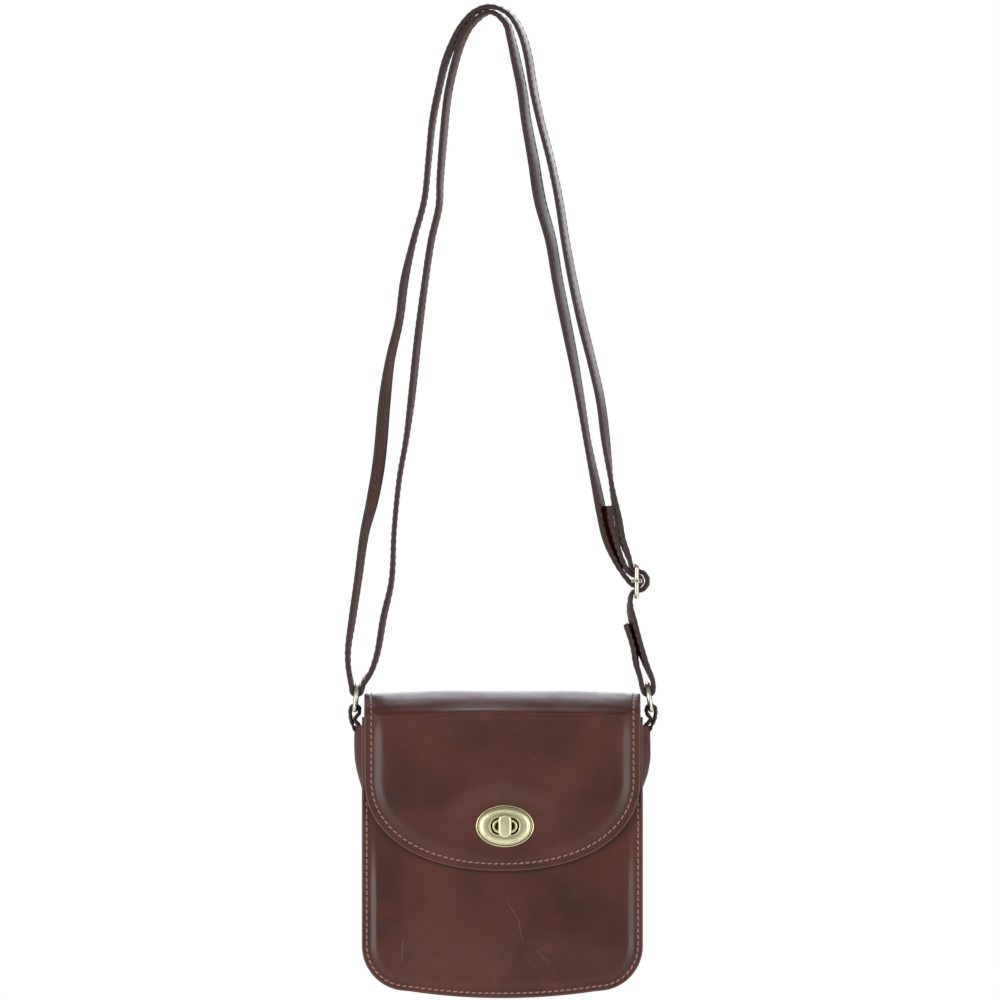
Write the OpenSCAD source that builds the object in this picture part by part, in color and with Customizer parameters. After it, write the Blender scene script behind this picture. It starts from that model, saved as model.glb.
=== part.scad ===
// Crossbody purse: a flat leather body with a gusset, a flap with an oval turn lock, and a long
// doubled shoulder strap that runs through two D-rings and a slider buckle.
// Millimetres, +Z up, the bag's front towards -Y. The origin is the point where the strap hangs
// from a hook, so the bag is below it, and the whole purse is at negative Z.

/* [Bag body] */
// Width of the front and back panels
panel_w = 155; // [140:1:165]
// Depth over the outer faces of the two panels
bag_depth = 40; // [36:1:44]
// Height of the bottom edge's middle, below the hang point
bottom_drop = 543; // [535:1:550]
// Radius of the two bottom corners
corner_r = 25; // [18:1:32]
// How far the bottom edge bows down between its corners
bottom_bow = 4; // [2:0.5:5]
// Thickness of the panel leather
panel_t = 2; // [1.6:0.1:2.2]
// Thickness of the gusset leather
gusset_t = 1.6; // [1.2:0.1:1.6]
// Thickness of the fabric lining
lining_t = 0.8; // [0.6:0.1:0.8]

/* [Flap] */
// Width of the flap
flap_w = 151.2; // [140:0.1:152]
// Thickness of the flap leather
flap_t = 1.8; // [1.4:0.1:1.8]
// Height of the flap's straight sides and curved bottom, from the crease down
flap_h = 87.7; // [80:0.1:95]
// Height of the curved bottom part of the flap
flap_curve_h = 51; // [40:1:56]
// Fullness of the flap's bottom curve, 2 for an ellipse
flap_fullness = 2.2; // [2:0.1:2.6]

/* [Turn lock] */
// Width of the oval plate
plate_w = 32.3; // [30:0.1:34]
// Height of the oval plate
plate_h = 23.3; // [22:0.1:25]
// Width of the plate's slot
slot_w = 15.7; // [15:0.1:17]
// Height of the plate's slot
slot_h = 9.5; // [9:0.1:10.5]
// Length of the turning knob
knob_l = 13.5; // [12:0.1:15]
// Width of the turning knob
knob_w = 7.3; // [6:0.1:8]

/* [Strap and hardware] */
// Width of the strap
strap_w = 14; // [12:0.5:14.5]
// Thickness of the strap, two layers sewn together
strap_t = 2.4; // [1.8:0.1:2.5]
// Diameter of the D-ring wire
ring_wire_d = 2.8; // [2.4:0.1:2.8]
// Diameter of the slider buckle's wire
slider_wire_d = 2.6; // [2.2:0.1:2.6]
// Width of the leather tabs on the gusset
tab_w = 12; // [10:0.5:12.5]

/* [Hidden] */

$fn = 48;
touch = 0.2;
leather = [0.36, 0.22, 0.18];
leather_edge = [0.24, 0.15, 0.13];
cloth = [0.20, 0.17, 0.15];
brass = [0.66, 0.62, 0.44];
nickel = [0.72, 0.70, 0.62];

// Bag body, in the X, Z plane unless it says otherwise
bag_x = 6.8;
half_w = panel_w / 2;
bottom_z = -bottom_drop;
panel_front = -bag_depth / 2;
panel_back = bag_depth / 2;
inner_front = panel_front + panel_t;
inner_back = panel_back - panel_t;
front_top_z = -388;
gusset_top_z = -393;
back_top_z = -382.8;
rim_w = 5;
bow_half = half_w - corner_r;
bow_r = (bow_half * bow_half + bottom_bow * bottom_bow) / (2 * bottom_bow);
wall_in = rim_w + gusset_t;
lining_in = wall_in + 0.1;
flare_out = -4.1;
flare_low_z = -412;
flare_end_z = -445;

// Flap: the fold lines run along X, at [y, z]
hinge_line = [panel_back - panel_t / 2, -381.5];
crease_line = [panel_front - 2.9, -385];
roof_top_z = -374.3;
bead_r = 1;
crease_bead_r = 1.3;
fold_gap = 0.3;
lining_back_off = 1.6;
flap_lining_t = 0.8;
chord = norm(hinge_line - crease_line);
chord_mid = (hinge_line + crease_line) / 2;
roof_rise = roof_top_z - flap_t / 2 - chord_mid[1];
roof_r = (chord * chord / 4 + roof_rise * roof_rise) / (2 * roof_rise);
roof_up = [crease_line[1] - hinge_line[1], hinge_line[0] - crease_line[0]] / chord;
roof_centre = chord_mid - roof_up * (roof_r - roof_rise);
flap_outer = crease_line[0] - flap_t / 2;
flap_inner = crease_line[0] + flap_t / 2;
flap_tip_z = crease_line[1] - flap_h;

// Turn lock, at [x, z]
lock_at = [8.2, -448];
boss_w = slot_w - 1;
boss_h = slot_h - 1;
boss_front = flap_outer - 3.5;
plate_t = 3.2;
rim_step = 1.2;
rim_set_in = 3;
dome_step = 2.4;
dome_set_in = 7.5;
plate_back_set_in = 4;
spindle_r = 1.5;
spindle_gap = 0.05;
cavity_r = 3.2;
boss_wall = 2.3;
knob_gap = 0.3;
knob_t = 3.4;
washer_t = 0.5;
flange_t = 0.8;
flange_margin = 3.25;
cavity_clear = 0.2;

// D-rings: the bow's centre is the line that the bag swings about
ring_z = -379.2;
bow_centre_r = 9;
bar_drop = 5;
bend_r = 2.5;
wire_r = ring_wire_d / 2;
ring_x = [-74.2, 88.2];
ring_lean = [5, -8];
loop_gap = 0.5;
loop_inner_r = wire_r + loop_gap;
loop_half_angle = 46;
tab_gap = 0.2;
tab_t = 1.8;
tab_skived = 0.7;
tab_outer_leg = 2;
tab_inner_leg = 14;

// Slider buckle
slider_at = [81, -313];
slider_h = 20.2;
slider_w = 21;
slider_r = slider_wire_d / 2;
slider_bend_r = 3;
ferrule = [6.3, 3.8, 2.1];

// Strap routes: [x, y, z, twist in degrees], chosen by hand. The outer run goes from the right
// ring up through the slider, over the top and down to the left ring. The inner run goes on from
// the left ring, under the outer run at the top, and down to the slider's centre bar.
strap_step = 7;
outer_route = [
    [90, 0, -369.2, 0], [89.5, 0, -366, 0], [85.4, 0, -357, 2], [81.7, 0, -346, 4],
    [78.6, 0, -334, 5], [77.4, 0, -328, 3], [77.5, 0, -323.4, 1], [78.1, 0, -320.4, 0],
    [79.4, 0, -319, 0], [81.2, 0, -318.7, 0], [85.2, 0, -317.2, 0], [87.1, 0, -313, 0],
    [85.2, 0, -308.8, 0], [81.2, 0, -307.3, 0], [79.4, 0, -307, 0], [78.1, 0, -305.6, 0],
    [77.5, 0, -302.6, 0], [75.9, 0, -298, -2], [72.9, 0, -290, -4], [70.8, 0, -279, -5],
    [67.5, 0, -262, -6], [64, 0, -236, -13], [61, 0, -213, -14],
    [56, 0, -191, -14], [50.5, 0, -169, -15], [45.5, 0, -146, -14], [41.6, 0, -125, -13],
    [38, 0, -102, -12], [33.5, 0, -80.5, -8], [27.8, 0, -58.5, -7], [24, 0, -41, -5],
    [20.8, 0, -22, -3], [17, 0, -9.5, -1], [10.5, 0, 0.4, 0], [0.4, 0, 4.4, 0],
    [-8.5, 0, 1.4, 0], [-15.5, 0, -6.3, 0], [-19.9, 0, -14.4, 2], [-24.6, 0, -26, 3],
    [-27.6, 0, -38, 4], [-31.7, 0, -58.5, 5], [-34, 0, -80.6, 3], [-36.4, 0, -102.6, 2],
    [-42.4, 0, -125, 3], [-47.3, 0, -147, 11], [-50.2, 0, -169, 11], [-55.2, 0, -191, 14],
    [-58.2, 0, -213, 21], [-61.2, 0, -246, 23], [-64.9, 0, -268, 21], [-69.4, 0, -287, 13],
    [-72.9, 0, -312, 10], [-76.2, 0, -334.5, 8], [-78.4, 0, -350, 4], [-78.4, 0, -359, 2],
    [-77.2, 0, -366, 0], [-76.5, 0, -369.3, 0]
];
inner_route = [
    [-70.3, 0, -369.9, 0], [-69.5, 0, -367.6, 0], [-65.6, 0, -362.5, -2], [-62.3, 0, -353, -4],
    [-59, 0, -334, -6], [-54.4, 0, -312.5, -3], [-53, 0, -285, -1], [-50.2, 0, -257, -2],
    [-46.4, 0, -235, -3], [-43.4, 0, -212, -8], [-40, 0, -180, -9], [-36.5, 0, -152, -7],
    [-32.4, 0, -124.5, -7], [-28.2, 0, -106, -6], [-27.6, 0, -91.6, -6], [-25.6, 0, -66, -8],
    [-23.2, 0, -44, -7], [-19.2, 0, -26, -4], [-15, 0, -13.6, -2], [-9.4, 0, -4.6, 0],
    [0, 0, 1.4, 0], [8.6, 0, -4.4, 0], [11.8, 0, -14, 3], [14.4, 0, -25.6, 6],
    [17.6, 0, -41, 14], [20, 0, -58.5, 17], [24, 0, -80.6, 20], [27.6, 0, -102.7, 22],
    [33.6, 0, -124.8, 20], [37.3, 0, -146.8, 19], [41.7, 0, -169, 19], [46.1, 0, -191, 16],
    [50, 0, -213, 12], [53.6, 0, -235, 9], [58, 0, -257, 10], [61.6, 0, -275, 12],
    [64.9, 0, -290, 8], [69.5, 0, -301.8, 3], [74.4, 0, -310.4, 0], [78, 0, -314.6, 0],
    [79.6, 0, -315.5, 0], [81, 0, -315.8, 0], [83, 0, -315, 0], [83.8, 0, -313, 0],
    [83, 0, -311, 0], [81, 0, -310.2, 0], [78.6, 0, -309.6, 0], [75.6, 0, -306.8, 1],
    [72.2, 0, -300.4, 3], [68, 0, -288.6, 8], [65.6, -1.2, -280, 10], [64.6, -1.4, -271.5, 12]
];
tail_route = [
    [83.8, 0, -370, 0], [82.7, 0, -365, 0], [80.6, 0, -358, 1], [79.9, 0, -351.5, 3],
    [78.5, 0, -345.6, 4], [76.8, 0, -340.5, 4], [74.9, 0, -336.8, 2]
];

// An upright slab, from one Y to another, of an outline drawn in the X, Z plane
module slab(y_from, y_to) {
    translate([0, y_to, 0]) rotate([90, 0, 0]) linear_extrude(y_to - y_from) children();
}

// Outline of a panel, drawn in by inset at its sides and bottom, with a straight top
module panel_shape(inset, top_z) {
    hull() {
        for (side = [-1, 1])
            translate([bag_x + side * bow_half, bottom_z + bottom_bow + corner_r])
                circle(corner_r - inset);
        intersection() {
            translate([bag_x, bottom_z + bow_r]) circle(bow_r - inset, $fn = 240);
            translate([bag_x - bow_half, bottom_z]) square([2 * bow_half, bottom_bow + inset]);
        }
        translate([bag_x - half_w + inset, top_z - 1]) square([panel_w - 2 * inset, 1]);
    }
}

// The band between two insets of the panel outline
module panel_band(inset_out, inset_in, top_z) {
    difference() {
        panel_shape(inset_out, top_z);
        panel_shape(inset_in, top_z + 1);
    }
}

// Points of an arc in the X, Z plane
function arc(centre, r, from, to, steps) = [for (i = [0:steps])
    let (angle = from + (to - from) * i / steps) centre + r * [cos(angle), sin(angle)]];

// Points down one side of the gusset's line at an inset: flared above, straight below
function gusset_side(side, inset) = [
    [bag_x + side * (half_w - flare_out - inset), gusset_top_z],
    [bag_x + side * (half_w - flare_out - inset), flare_low_z],
    [bag_x + side * (half_w - rim_w - inset), flare_end_z]
];

// Points of the gusset's line at an inset, from its left top round the bottom to its right top
function gusset_line(inset) = let (
    r = corner_r - rim_w - inset,
    corner_z = bottom_z + bottom_bow + corner_r,
    bow_angle = 0.94 * asin(bow_half / bow_r),
    right = gusset_side(1, inset)
) concat(
    gusset_side(-1, inset),
    arc([bag_x - bow_half, corner_z], r, 180, 264, 10),
    arc([bag_x, bottom_z + bow_r], bow_r - rim_w - inset, 270 - bow_angle, 270 + bow_angle, 12),
    arc([bag_x + bow_half, corner_z], r, 276, 360, 10),
    [for (i = [2:-1:0]) right[i]]
);

// A gusset section between two insets
module gusset_section(a, b) {
    inner = gusset_line(b);
    polygon(concat(gusset_line(a), [for (i = [len(inner) - 1:-1:0]) inner[i]]));
}

// Outline of the hanging part of the flap: straight sides, then a full curve
module flap_shape(inset) {
    a = flap_w / 2 - inset;
    b = flap_curve_h - inset;
    z_curve = flap_tip_z + flap_curve_h;
    bend = [for (angle = [0:4:180]) [
        bag_x - a * sign(cos(angle)) * pow(abs(cos(angle)), 2 / flap_fullness),
        z_curve - b * pow(abs(sin(angle)), 2 / flap_fullness)
    ]];
    polygon(concat([[bag_x - a, crease_line[1]]], bend, [[bag_x + a, crease_line[1]]]));
}

// An oval centred on the lock
module lock_oval(w, h) {
    translate(lock_at)
        polygon([for (angle = [0:7.5:352.5]) [w / 2 * cos(angle), h / 2 * sin(angle)]]);
}

// The oval that the lock's base and its washer are cut to
module lock_flange() lock_oval(boss_w + 2 * flange_margin, boss_h + 2 * flange_margin);

// A flat-sided slot with round ends, centred on the lock
module lock_slot(w, h) {
    translate(lock_at) {
        square([w - h, h], center = true);
        for (side = [-1, 1]) translate([side * (w - h) / 2, 0]) circle(h / 2);
    }
}

// A round bar along Y on the lock's axis
module lock_bar(r, y_from, y_to) {
    translate([lock_at[0], y_to, lock_at[1]]) rotate([90, 0, 0]) cylinder(r = r, h = y_to - y_from);
}

// A bar along X on a fold line
module fold_bar(line, r, w) {
    translate([bag_x - w / 2, line[0], line[1]]) rotate([0, 90, 0]) cylinder(r = r, h = w);
}

module front_panel() {
    color(leather) difference() {
        slab(panel_front, inner_front) panel_shape(0, front_top_z);
        lock_bar(cavity_r + cavity_clear, panel_front - 1, inner_front + 1);
    }
}

module back_panel() {
    color(leather) slab(inner_back, panel_back) panel_shape(0, back_top_z);
}

module gusset() {
    color(leather_edge) {
        slab(inner_front + gusset_t, inner_back - gusset_t) gusset_section(0, gusset_t);
        slab(inner_front, inner_front + gusset_t) panel_band(0, wall_in, gusset_top_z);
        slab(inner_back - gusset_t, inner_back) panel_band(0, wall_in, gusset_top_z);
    }
}

module lining_front() {
    color(cloth) slab(inner_front + 1, inner_front + 1 + lining_t)
        panel_shape(lining_in + lining_t + 0.1, front_top_z - 6);
}

module lining_back() {
    color(cloth) slab(inner_back - 1 - lining_t, inner_back - 1)
        panel_shape(lining_in + lining_t + 0.1, front_top_z - 2);
}

module lining_gusset() {
    color(cloth) slab(inner_front + gusset_t + 0.1, inner_back - gusset_t - 0.1)
        gusset_section(gusset_t + 0.1, gusset_t + 0.1 + lining_t);
}

// Where a ring's straight bar lies, at [x, z]
function bar_at(i) = [ring_x[i] - bar_drop * sin(ring_lean[i]), ring_z - bar_drop * cos(ring_lean[i])];

// A leather tab: a loop round the ring's bar, with one leg outside the gusset and one inside
module tab(i) {
    side = i == 0 ? -1 : 1;
    bar = bar_at(i);
    inner_r = wire_r + tab_gap;
    outer_r = inner_r + tab_t;
    gusset_x = bag_x + side * (half_w - flare_out);
    inside_x = gusset_x - side * (gusset_t + lining_t + 0.3);
    start = side > 0 ? 0 : 180;
    color(leather_edge) slab(-tab_w / 2, tab_w / 2) polygon(concat(
        [[gusset_x + side * (tab_gap + tab_skived), gusset_top_z - tab_outer_leg]],
        arc(bar, outer_r, start, 180 - start, 20),
        [
            [inside_x - side * tab_t, gusset_top_z],
            [inside_x - side * tab_t, gusset_top_z - tab_inner_leg],
            [inside_x, gusset_top_z - tab_inner_leg],
            [inside_x, gusset_top_z]
        ],
        arc(bar, inner_r, 180 - start, start, 20),
        [[gusset_x + side * tab_gap, gusset_top_z - tab_outer_leg]]
    ));
}

module tab_left() tab(0);
module tab_right() tab(1);

// Part of a wire bent about the X axis; angles are measured from -Z towards +Y
module bent_wire(r, wire, from, sweep) {
    rotate([0, 90, 0]) rotate([0, 0, from])
        rotate_extrude(angle = sweep, $fn = 96) translate([r, 0]) circle(wire);
}

// A D-ring in the Y, Z plane with its bow's centre at the origin and its bar below
module d_ring() {
    bent_wire(bow_centre_r, wire_r, 90, 180);
    for (side = [-1, 1]) {
        translate([0, side * bow_centre_r, bend_r - bar_drop])
            cylinder(r = wire_r, h = bar_drop - bend_r);
        translate([0, side * (bow_centre_r - bend_r), bend_r - bar_drop])
            bent_wire(bend_r, wire_r, side > 0 ? 0 : -90, 90);
    }
    translate([0, bow_centre_r - bend_r, -bar_drop])
        rotate([90, 0, 0]) cylinder(r = wire_r, h = 2 * (bow_centre_r - bend_r));
}

module at_ring(i) {
    translate([ring_x[i], 0, ring_z]) rotate([0, ring_lean[i], 0]) children();
}

module ring_left() color(nickel) at_ring(0) d_ring();
module ring_right() color(nickel) at_ring(1) d_ring();

// The strap's bend under a ring's bow, which the bow can slide through as the bag swings
module strap_loop(i) {
    color(leather) at_ring(i) rotate([0, 90, 0]) rotate([0, 0, 180 - loop_half_angle])
        rotate_extrude(angle = 2 * loop_half_angle, $fn = 96) difference() {
            translate([bow_centre_r, 0]) circle(loop_inner_r + strap_t);
            translate([bow_centre_r, 0]) circle(loop_inner_r);
            translate([bow_centre_r + 0.3, -20]) square(40);
        }
}

module strap_loop_left() strap_loop(0);
module strap_loop_right() strap_loop(1);

module lock_base() {
    color(brass) difference() {
        union() {
            slab(panel_front - flange_t, panel_front) lock_flange();
            slab(boss_front, panel_front - flange_t + touch) lock_slot(boss_w, boss_h);
        }
        lock_bar(cavity_r, boss_front + boss_wall, panel_front + 1);
        lock_bar(spindle_r + spindle_gap, boss_front - 1, boss_front + boss_wall + 1);
    }
}

module lock_base_washer() {
    color(nickel) difference() {
        slab(inner_front, inner_front + washer_t) lock_flange();
        lock_bar(cavity_r + cavity_clear, inner_front - 1, inner_front + 1);
    }
}

module lock_spring() {
    color(nickel) difference() {
        lock_bar(2.8, boss_front + boss_wall, panel_front - 1);
        lock_bar(2, boss_front + boss_wall - 1, panel_front + 1);
    }
}

module lock_toggle() {
    knob_back = boss_front - knob_gap;
    head_r = 2.9;
    color(brass) {
        slab(knob_back - knob_t, knob_back) hull() {
            for (side = [-1, 1]) translate([lock_at[0], lock_at[1] + side * (knob_l / 2 - 2)]) circle(2);
            translate(lock_at) circle(knob_w / 2);
            translate(lock_at) square([knob_w, knob_l * 0.42], center = true);
        }
        lock_bar(spindle_r, knob_back - 1, panel_front - 0.5);
        lock_bar(head_r, panel_front - 0.9, panel_front - 0.2);
    }
}

// The arched top of the flap, from the back fold to the front crease, between two radii
module roof_arch(r_in, r_out, w) {
    reach = 1.2 * roof_r;
    span = hinge_line - roof_centre;
    end = crease_line - roof_centre;
    translate([bag_x + w / 2, roof_centre[0], roof_centre[1]]) rotate([90, 0, -90])
        linear_extrude(w) intersection() {
            difference() {
                circle(r_out, $fn = 180);
                circle(r_in, $fn = 180);
            }
            polygon([[0, 0], [-span[0], span[1]] * 1.5, [0, 2 * reach], [-end[0], end[1]] * 1.5]);
        }
}

module flap_roof() {
    color(leather) difference() {
        union() {
            roof_arch(roof_r - flap_t / 2, roof_r + flap_t / 2, flap_w);
            fold_bar(hinge_line, bead_r, flap_w);
        }
        fold_bar(crease_line, crease_bead_r + fold_gap, flap_w + 2);
    }
}

module flap_roof_lining() {
    r_out = roof_r - flap_t / 2;
    color(cloth) difference() {
        roof_arch(r_out - flap_lining_t, r_out, flap_w - 1);
        fold_bar(hinge_line, bead_r + lining_back_off, flap_w);
        fold_bar(crease_line, crease_bead_r + lining_back_off, flap_w);
    }
}

module flap_front() {
    color(leather) difference() {
        union() {
            slab(flap_outer, flap_inner) flap_shape(0);
            fold_bar(crease_line, crease_bead_r, flap_w);
        }
        slab(flap_outer - 1, flap_inner + 1) lock_slot(slot_w + 1, slot_h + 1);
    }
}

module flap_front_lining() {
    color(cloth) slab(flap_inner, flap_inner + flap_lining_t) difference() {
        flap_shape(0.5);
        translate([bag_x - flap_w, crease_line[1] - 2]) square([2 * flap_w, 10]);
        lock_oval(plate_w - plate_back_set_in, plate_h - plate_back_set_in);
    }
}

module lock_plate() {
    color(brass) difference() {
        union() {
            slab(flap_outer - rim_step, flap_outer) lock_oval(plate_w, plate_h);
            slab(flap_outer - dome_step, flap_outer - rim_step + touch)
                lock_oval(plate_w - rim_set_in, plate_h - rim_set_in);
            slab(flap_outer - plate_t, flap_outer - dome_step + touch)
                lock_oval(plate_w - dome_set_in, plate_h - dome_set_in);
        }
        slab(flap_outer - plate_t - 1, flap_outer + 1) lock_slot(slot_w, slot_h);
    }
}

module lock_plate_washer() {
    color(nickel) slab(flap_inner, flap_inner + washer_t) difference() {
        lock_oval(plate_w - plate_back_set_in - 0.4, plate_h - plate_back_set_in - 0.4);
        lock_slot(slot_w + 1, slot_h + 1);
    }
}

// Strap sweep: a smooth curve through a route's points, then a flat layer laid along it
function place(p) = [p[0], p[1], p[2]];
function gap_between(a, b) = norm(place(b) - place(a));
function unit(v) = v / norm(v);
function heading(p, i) = let (
    a = p[max(i - 1, 0)],
    b = p[min(i + 1, len(p) - 1)]
) (b - a) / (gap_between(a, p[i]) + gap_between(p[i], b));
function between(p, i, t) = let (d = gap_between(p[i], p[i + 1]))
    (2 * t * t * t - 3 * t * t + 1) * p[i] + (t * t * t - 2 * t * t + t) * d * heading(p, i)
    + (3 * t * t - 2 * t * t * t) * p[i + 1] + (t * t * t - t * t) * d * heading(p, i + 1);
function smooth(p) = concat(
    [for (i = [0:len(p) - 2])
        let (n = max(2, ceil(gap_between(p[i], p[i + 1]) / strap_step)))
            for (k = [0:n - 1]) between(p, i, k / n)],
    [p[len(p) - 1]]
);
function section(q, j, low, high) = let (
    along = unit(place(q[min(j + 1, len(q) - 1)]) - place(q[max(j - 1, 0)])),
    across = unit([0, 1, 0] - along[1] * along),
    outward = cross(along, across),
    turn = q[j][3],
    w = (across * cos(turn) + outward * sin(turn)) * strap_w / 2,
    t = outward * cos(turn) - across * sin(turn),
    c = place(q[j])
) [c + w + t * low, c + w + t * high, c - w + t * high, c - w + t * low];

module strap_layer(route, low, high) {
    q = smooth(route);
    n = len(q);
    points = [for (j = [0:n - 1]) each section(q, j, low, high)];
    sides = [for (j = [0:n - 2]) for (k = [0:3])
        let (a = 4 * j + k, b = 4 * j + (k + 1) % 4)
            each k < 2 ? [[a, b, a + 4], [b, b + 4, a + 4]] : [[a, b, b + 4], [a, b + 4, a + 4]]];
    caps = [[0, 3, 2], [0, 2, 1], [4 * n - 4, 4 * n - 3, 4 * n - 2], [4 * n - 4, 4 * n - 2, 4 * n - 1]];
    polyhedron(points, concat(sides, caps));
}

module strap_outer_face() color(leather) strap_layer(outer_route, -strap_t / 2, 0);
module strap_outer_backing() color(leather_edge) strap_layer(outer_route, 0, strap_t / 2);
module strap_inner_face() color(leather) strap_layer(inner_route, 0, strap_t / 2);
module strap_inner_backing() color(leather_edge) strap_layer(inner_route, -strap_t / 2, 0);
module strap_tail() color(leather) strap_layer(tail_route, -strap_t / 2, strap_t / 2);

module slider_frame() {
    half_h = slider_h / 2 - slider_r;
    half_y = slider_w / 2 - slider_r;
    flat_z = half_h - slider_bend_r;
    flat_y = half_y - slider_bend_r;
    color(nickel) translate([slider_at[0], 0, slider_at[1]]) for (s = [-1, 1]) {
        translate([0, s * half_y, -flat_z]) cylinder(r = slider_r, h = 2 * flat_z);
        translate([0, flat_y, s * half_h]) rotate([90, 0, 0]) cylinder(r = slider_r, h = 2 * flat_y);
        translate([0, s * flat_y, -flat_z]) bent_wire(slider_bend_r, slider_r, s > 0 ? 0 : -90, 90);
        translate([0, s * flat_y, flat_z]) bent_wire(slider_bend_r, slider_r, s > 0 ? 90 : 180, 90);
    }
}

module slider_bar() {
    half_y = slider_w / 2 - slider_r;
    color(nickel) translate([slider_at[0], 0, slider_at[1]]) difference() {
        union() {
            translate([0, half_y, 0]) rotate([90, 0, 0]) cylinder(r = ferrule[2] / 2, h = 2 * half_y);
            for (s = [-1, 1]) translate([0, s * half_y, 0]) cube(ferrule, center = true);
        }
        for (s = [-1, 1])
            translate([0, s * half_y, -5]) cylinder(r = slider_r + 0.05, h = 10);
    }
}

front_panel();
back_panel();
gusset();
lining_front();
lining_back();
lining_gusset();
tab_left();
tab_right();
ring_left();
ring_right();
lock_base();
lock_base_washer();
lock_spring();
lock_toggle();
flap_roof();
flap_roof_lining();
flap_front();
flap_front_lining();
lock_plate();
lock_plate_washer();
strap_outer_face();
strap_outer_backing();
strap_inner_face();
strap_inner_backing();
strap_tail();
strap_loop_left();
strap_loop_right();
slider_frame();
slider_bar();
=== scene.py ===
"""Crossbody purse: soft leather body and flap, turn lock, D-rings, slider and strap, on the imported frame.

Points are in millimetres in the CAD's own frame and become metres when a mesh is made.
"""

import bisect
import math

import bmesh
import bpy
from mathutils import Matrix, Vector, noise


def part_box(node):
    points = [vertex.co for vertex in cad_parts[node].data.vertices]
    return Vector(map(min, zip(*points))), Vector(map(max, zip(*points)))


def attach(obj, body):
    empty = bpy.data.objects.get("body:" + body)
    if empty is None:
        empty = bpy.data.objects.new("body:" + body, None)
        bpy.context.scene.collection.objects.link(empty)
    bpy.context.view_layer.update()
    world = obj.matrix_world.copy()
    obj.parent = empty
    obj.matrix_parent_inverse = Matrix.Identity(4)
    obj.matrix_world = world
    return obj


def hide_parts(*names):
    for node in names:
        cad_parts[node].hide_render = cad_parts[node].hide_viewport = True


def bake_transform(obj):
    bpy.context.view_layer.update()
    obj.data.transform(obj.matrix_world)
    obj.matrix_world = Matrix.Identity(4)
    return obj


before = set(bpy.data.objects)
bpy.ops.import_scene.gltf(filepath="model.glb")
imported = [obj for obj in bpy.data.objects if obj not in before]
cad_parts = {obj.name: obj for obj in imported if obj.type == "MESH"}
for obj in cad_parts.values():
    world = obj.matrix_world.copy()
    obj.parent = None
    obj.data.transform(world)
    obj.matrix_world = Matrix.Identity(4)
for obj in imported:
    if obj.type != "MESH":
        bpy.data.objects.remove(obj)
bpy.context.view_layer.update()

MM = 0.001


# ---------------------------------------------------------------- sizes, in mm

def box_mm(node):
    """Lowest and highest corners of a CAD node."""
    low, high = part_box(node)
    return low / MM, high / MM


panel_low, panel_high = box_mm("front_panel")
_, back_high = box_mm("back_panel")
flap_low, flap_high = box_mm("flap_front")
plate_low, plate_high = box_mm("lock_plate")
base_low, base_high = box_mm("lock_base")
toggle_low, toggle_high = box_mm("lock_toggle")
slider_low, slider_high = box_mm("slider_frame")
_, gusset_high = box_mm("gusset")

BAG_X = (panel_low.x + panel_high.x) / 2
HALF_W = (panel_high.x - panel_low.x) / 2
BOTTOM_Z = panel_low.z
FRONT_Y = panel_low.y
BACK_Y = back_high.y
FRONT_TOP_Z = panel_high.z
CORNER_R = 25
BOTTOM_BOW = 4
PANEL_T = 2

FLAP_SPREAD = 0.6  # the soft leather is this much wider than the CAD's flap, on each side
FLAP_HALF_W = (flap_high.x - flap_low.x) / 2 + FLAP_SPREAD
FLAP_Y = plate_high.y
FLAP_TIP_Z = flap_low.z
FLAP_CURVE_H = 51
FLAP_FULLNESS = 2.2
FLAP_T = 1.8

LOCK_X = (plate_low.x + plate_high.x) / 2
LOCK_Z = (plate_low.z + plate_high.z) / 2
PLATE_W = plate_high.x - plate_low.x
PLATE_H = plate_high.z - plate_low.z
SLOT_W = 15.7
SLOT_H = 9.5
BOSS_FRONT_Y = base_low.y

RING_X = [-74.2, 88.2]
RING_LEAN = [5, -8]
RING_Z = -379.2
BOW_R = 9
WIRE_R = 1.4
BAR_DROP = 5
RING_BEND_R = 2.5

STRAP_W = 14
STRAP_T = 2.4
LOOP_R = 3.1
TAB_W = 12
TAB_T = 1.8

# The gusset's wall: how far in it stands from the panels' edges, and its swell near the top
WALL_IN = 5
FLARE = 9.1

# The lining's edge, in from the outline of the panels and of the flap
LINING_IN = 7.8
FLAP_LINING_IN = 2.2

SLIDER = (slider_low + slider_high) / 2

# The outline's rings: true insets from the edge, before the rest is drawn in to the middle
RIM = [0, 0.2, 0.6, 1.2, 1.8, 2.3, 2.7, 3.1, 3.6, 4, 4.5, 5.2, 5.9, 6.6, 7.3, 8, 8.8]
STITCH_IN = 2.7
FLAP_STITCH_IN = 3.9
PITCH = 3.5

# One stitch: place along it, lift and radius, both as shares of the thread's radius
STITCH = [(0.12, -0.6, 0.5), (0.24, 0.2, 0.95), (0.5, 0.5, 1), (0.76, 0.2, 0.95), (0.88, -0.6, 0.5)]
SLANT = 0.5

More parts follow.
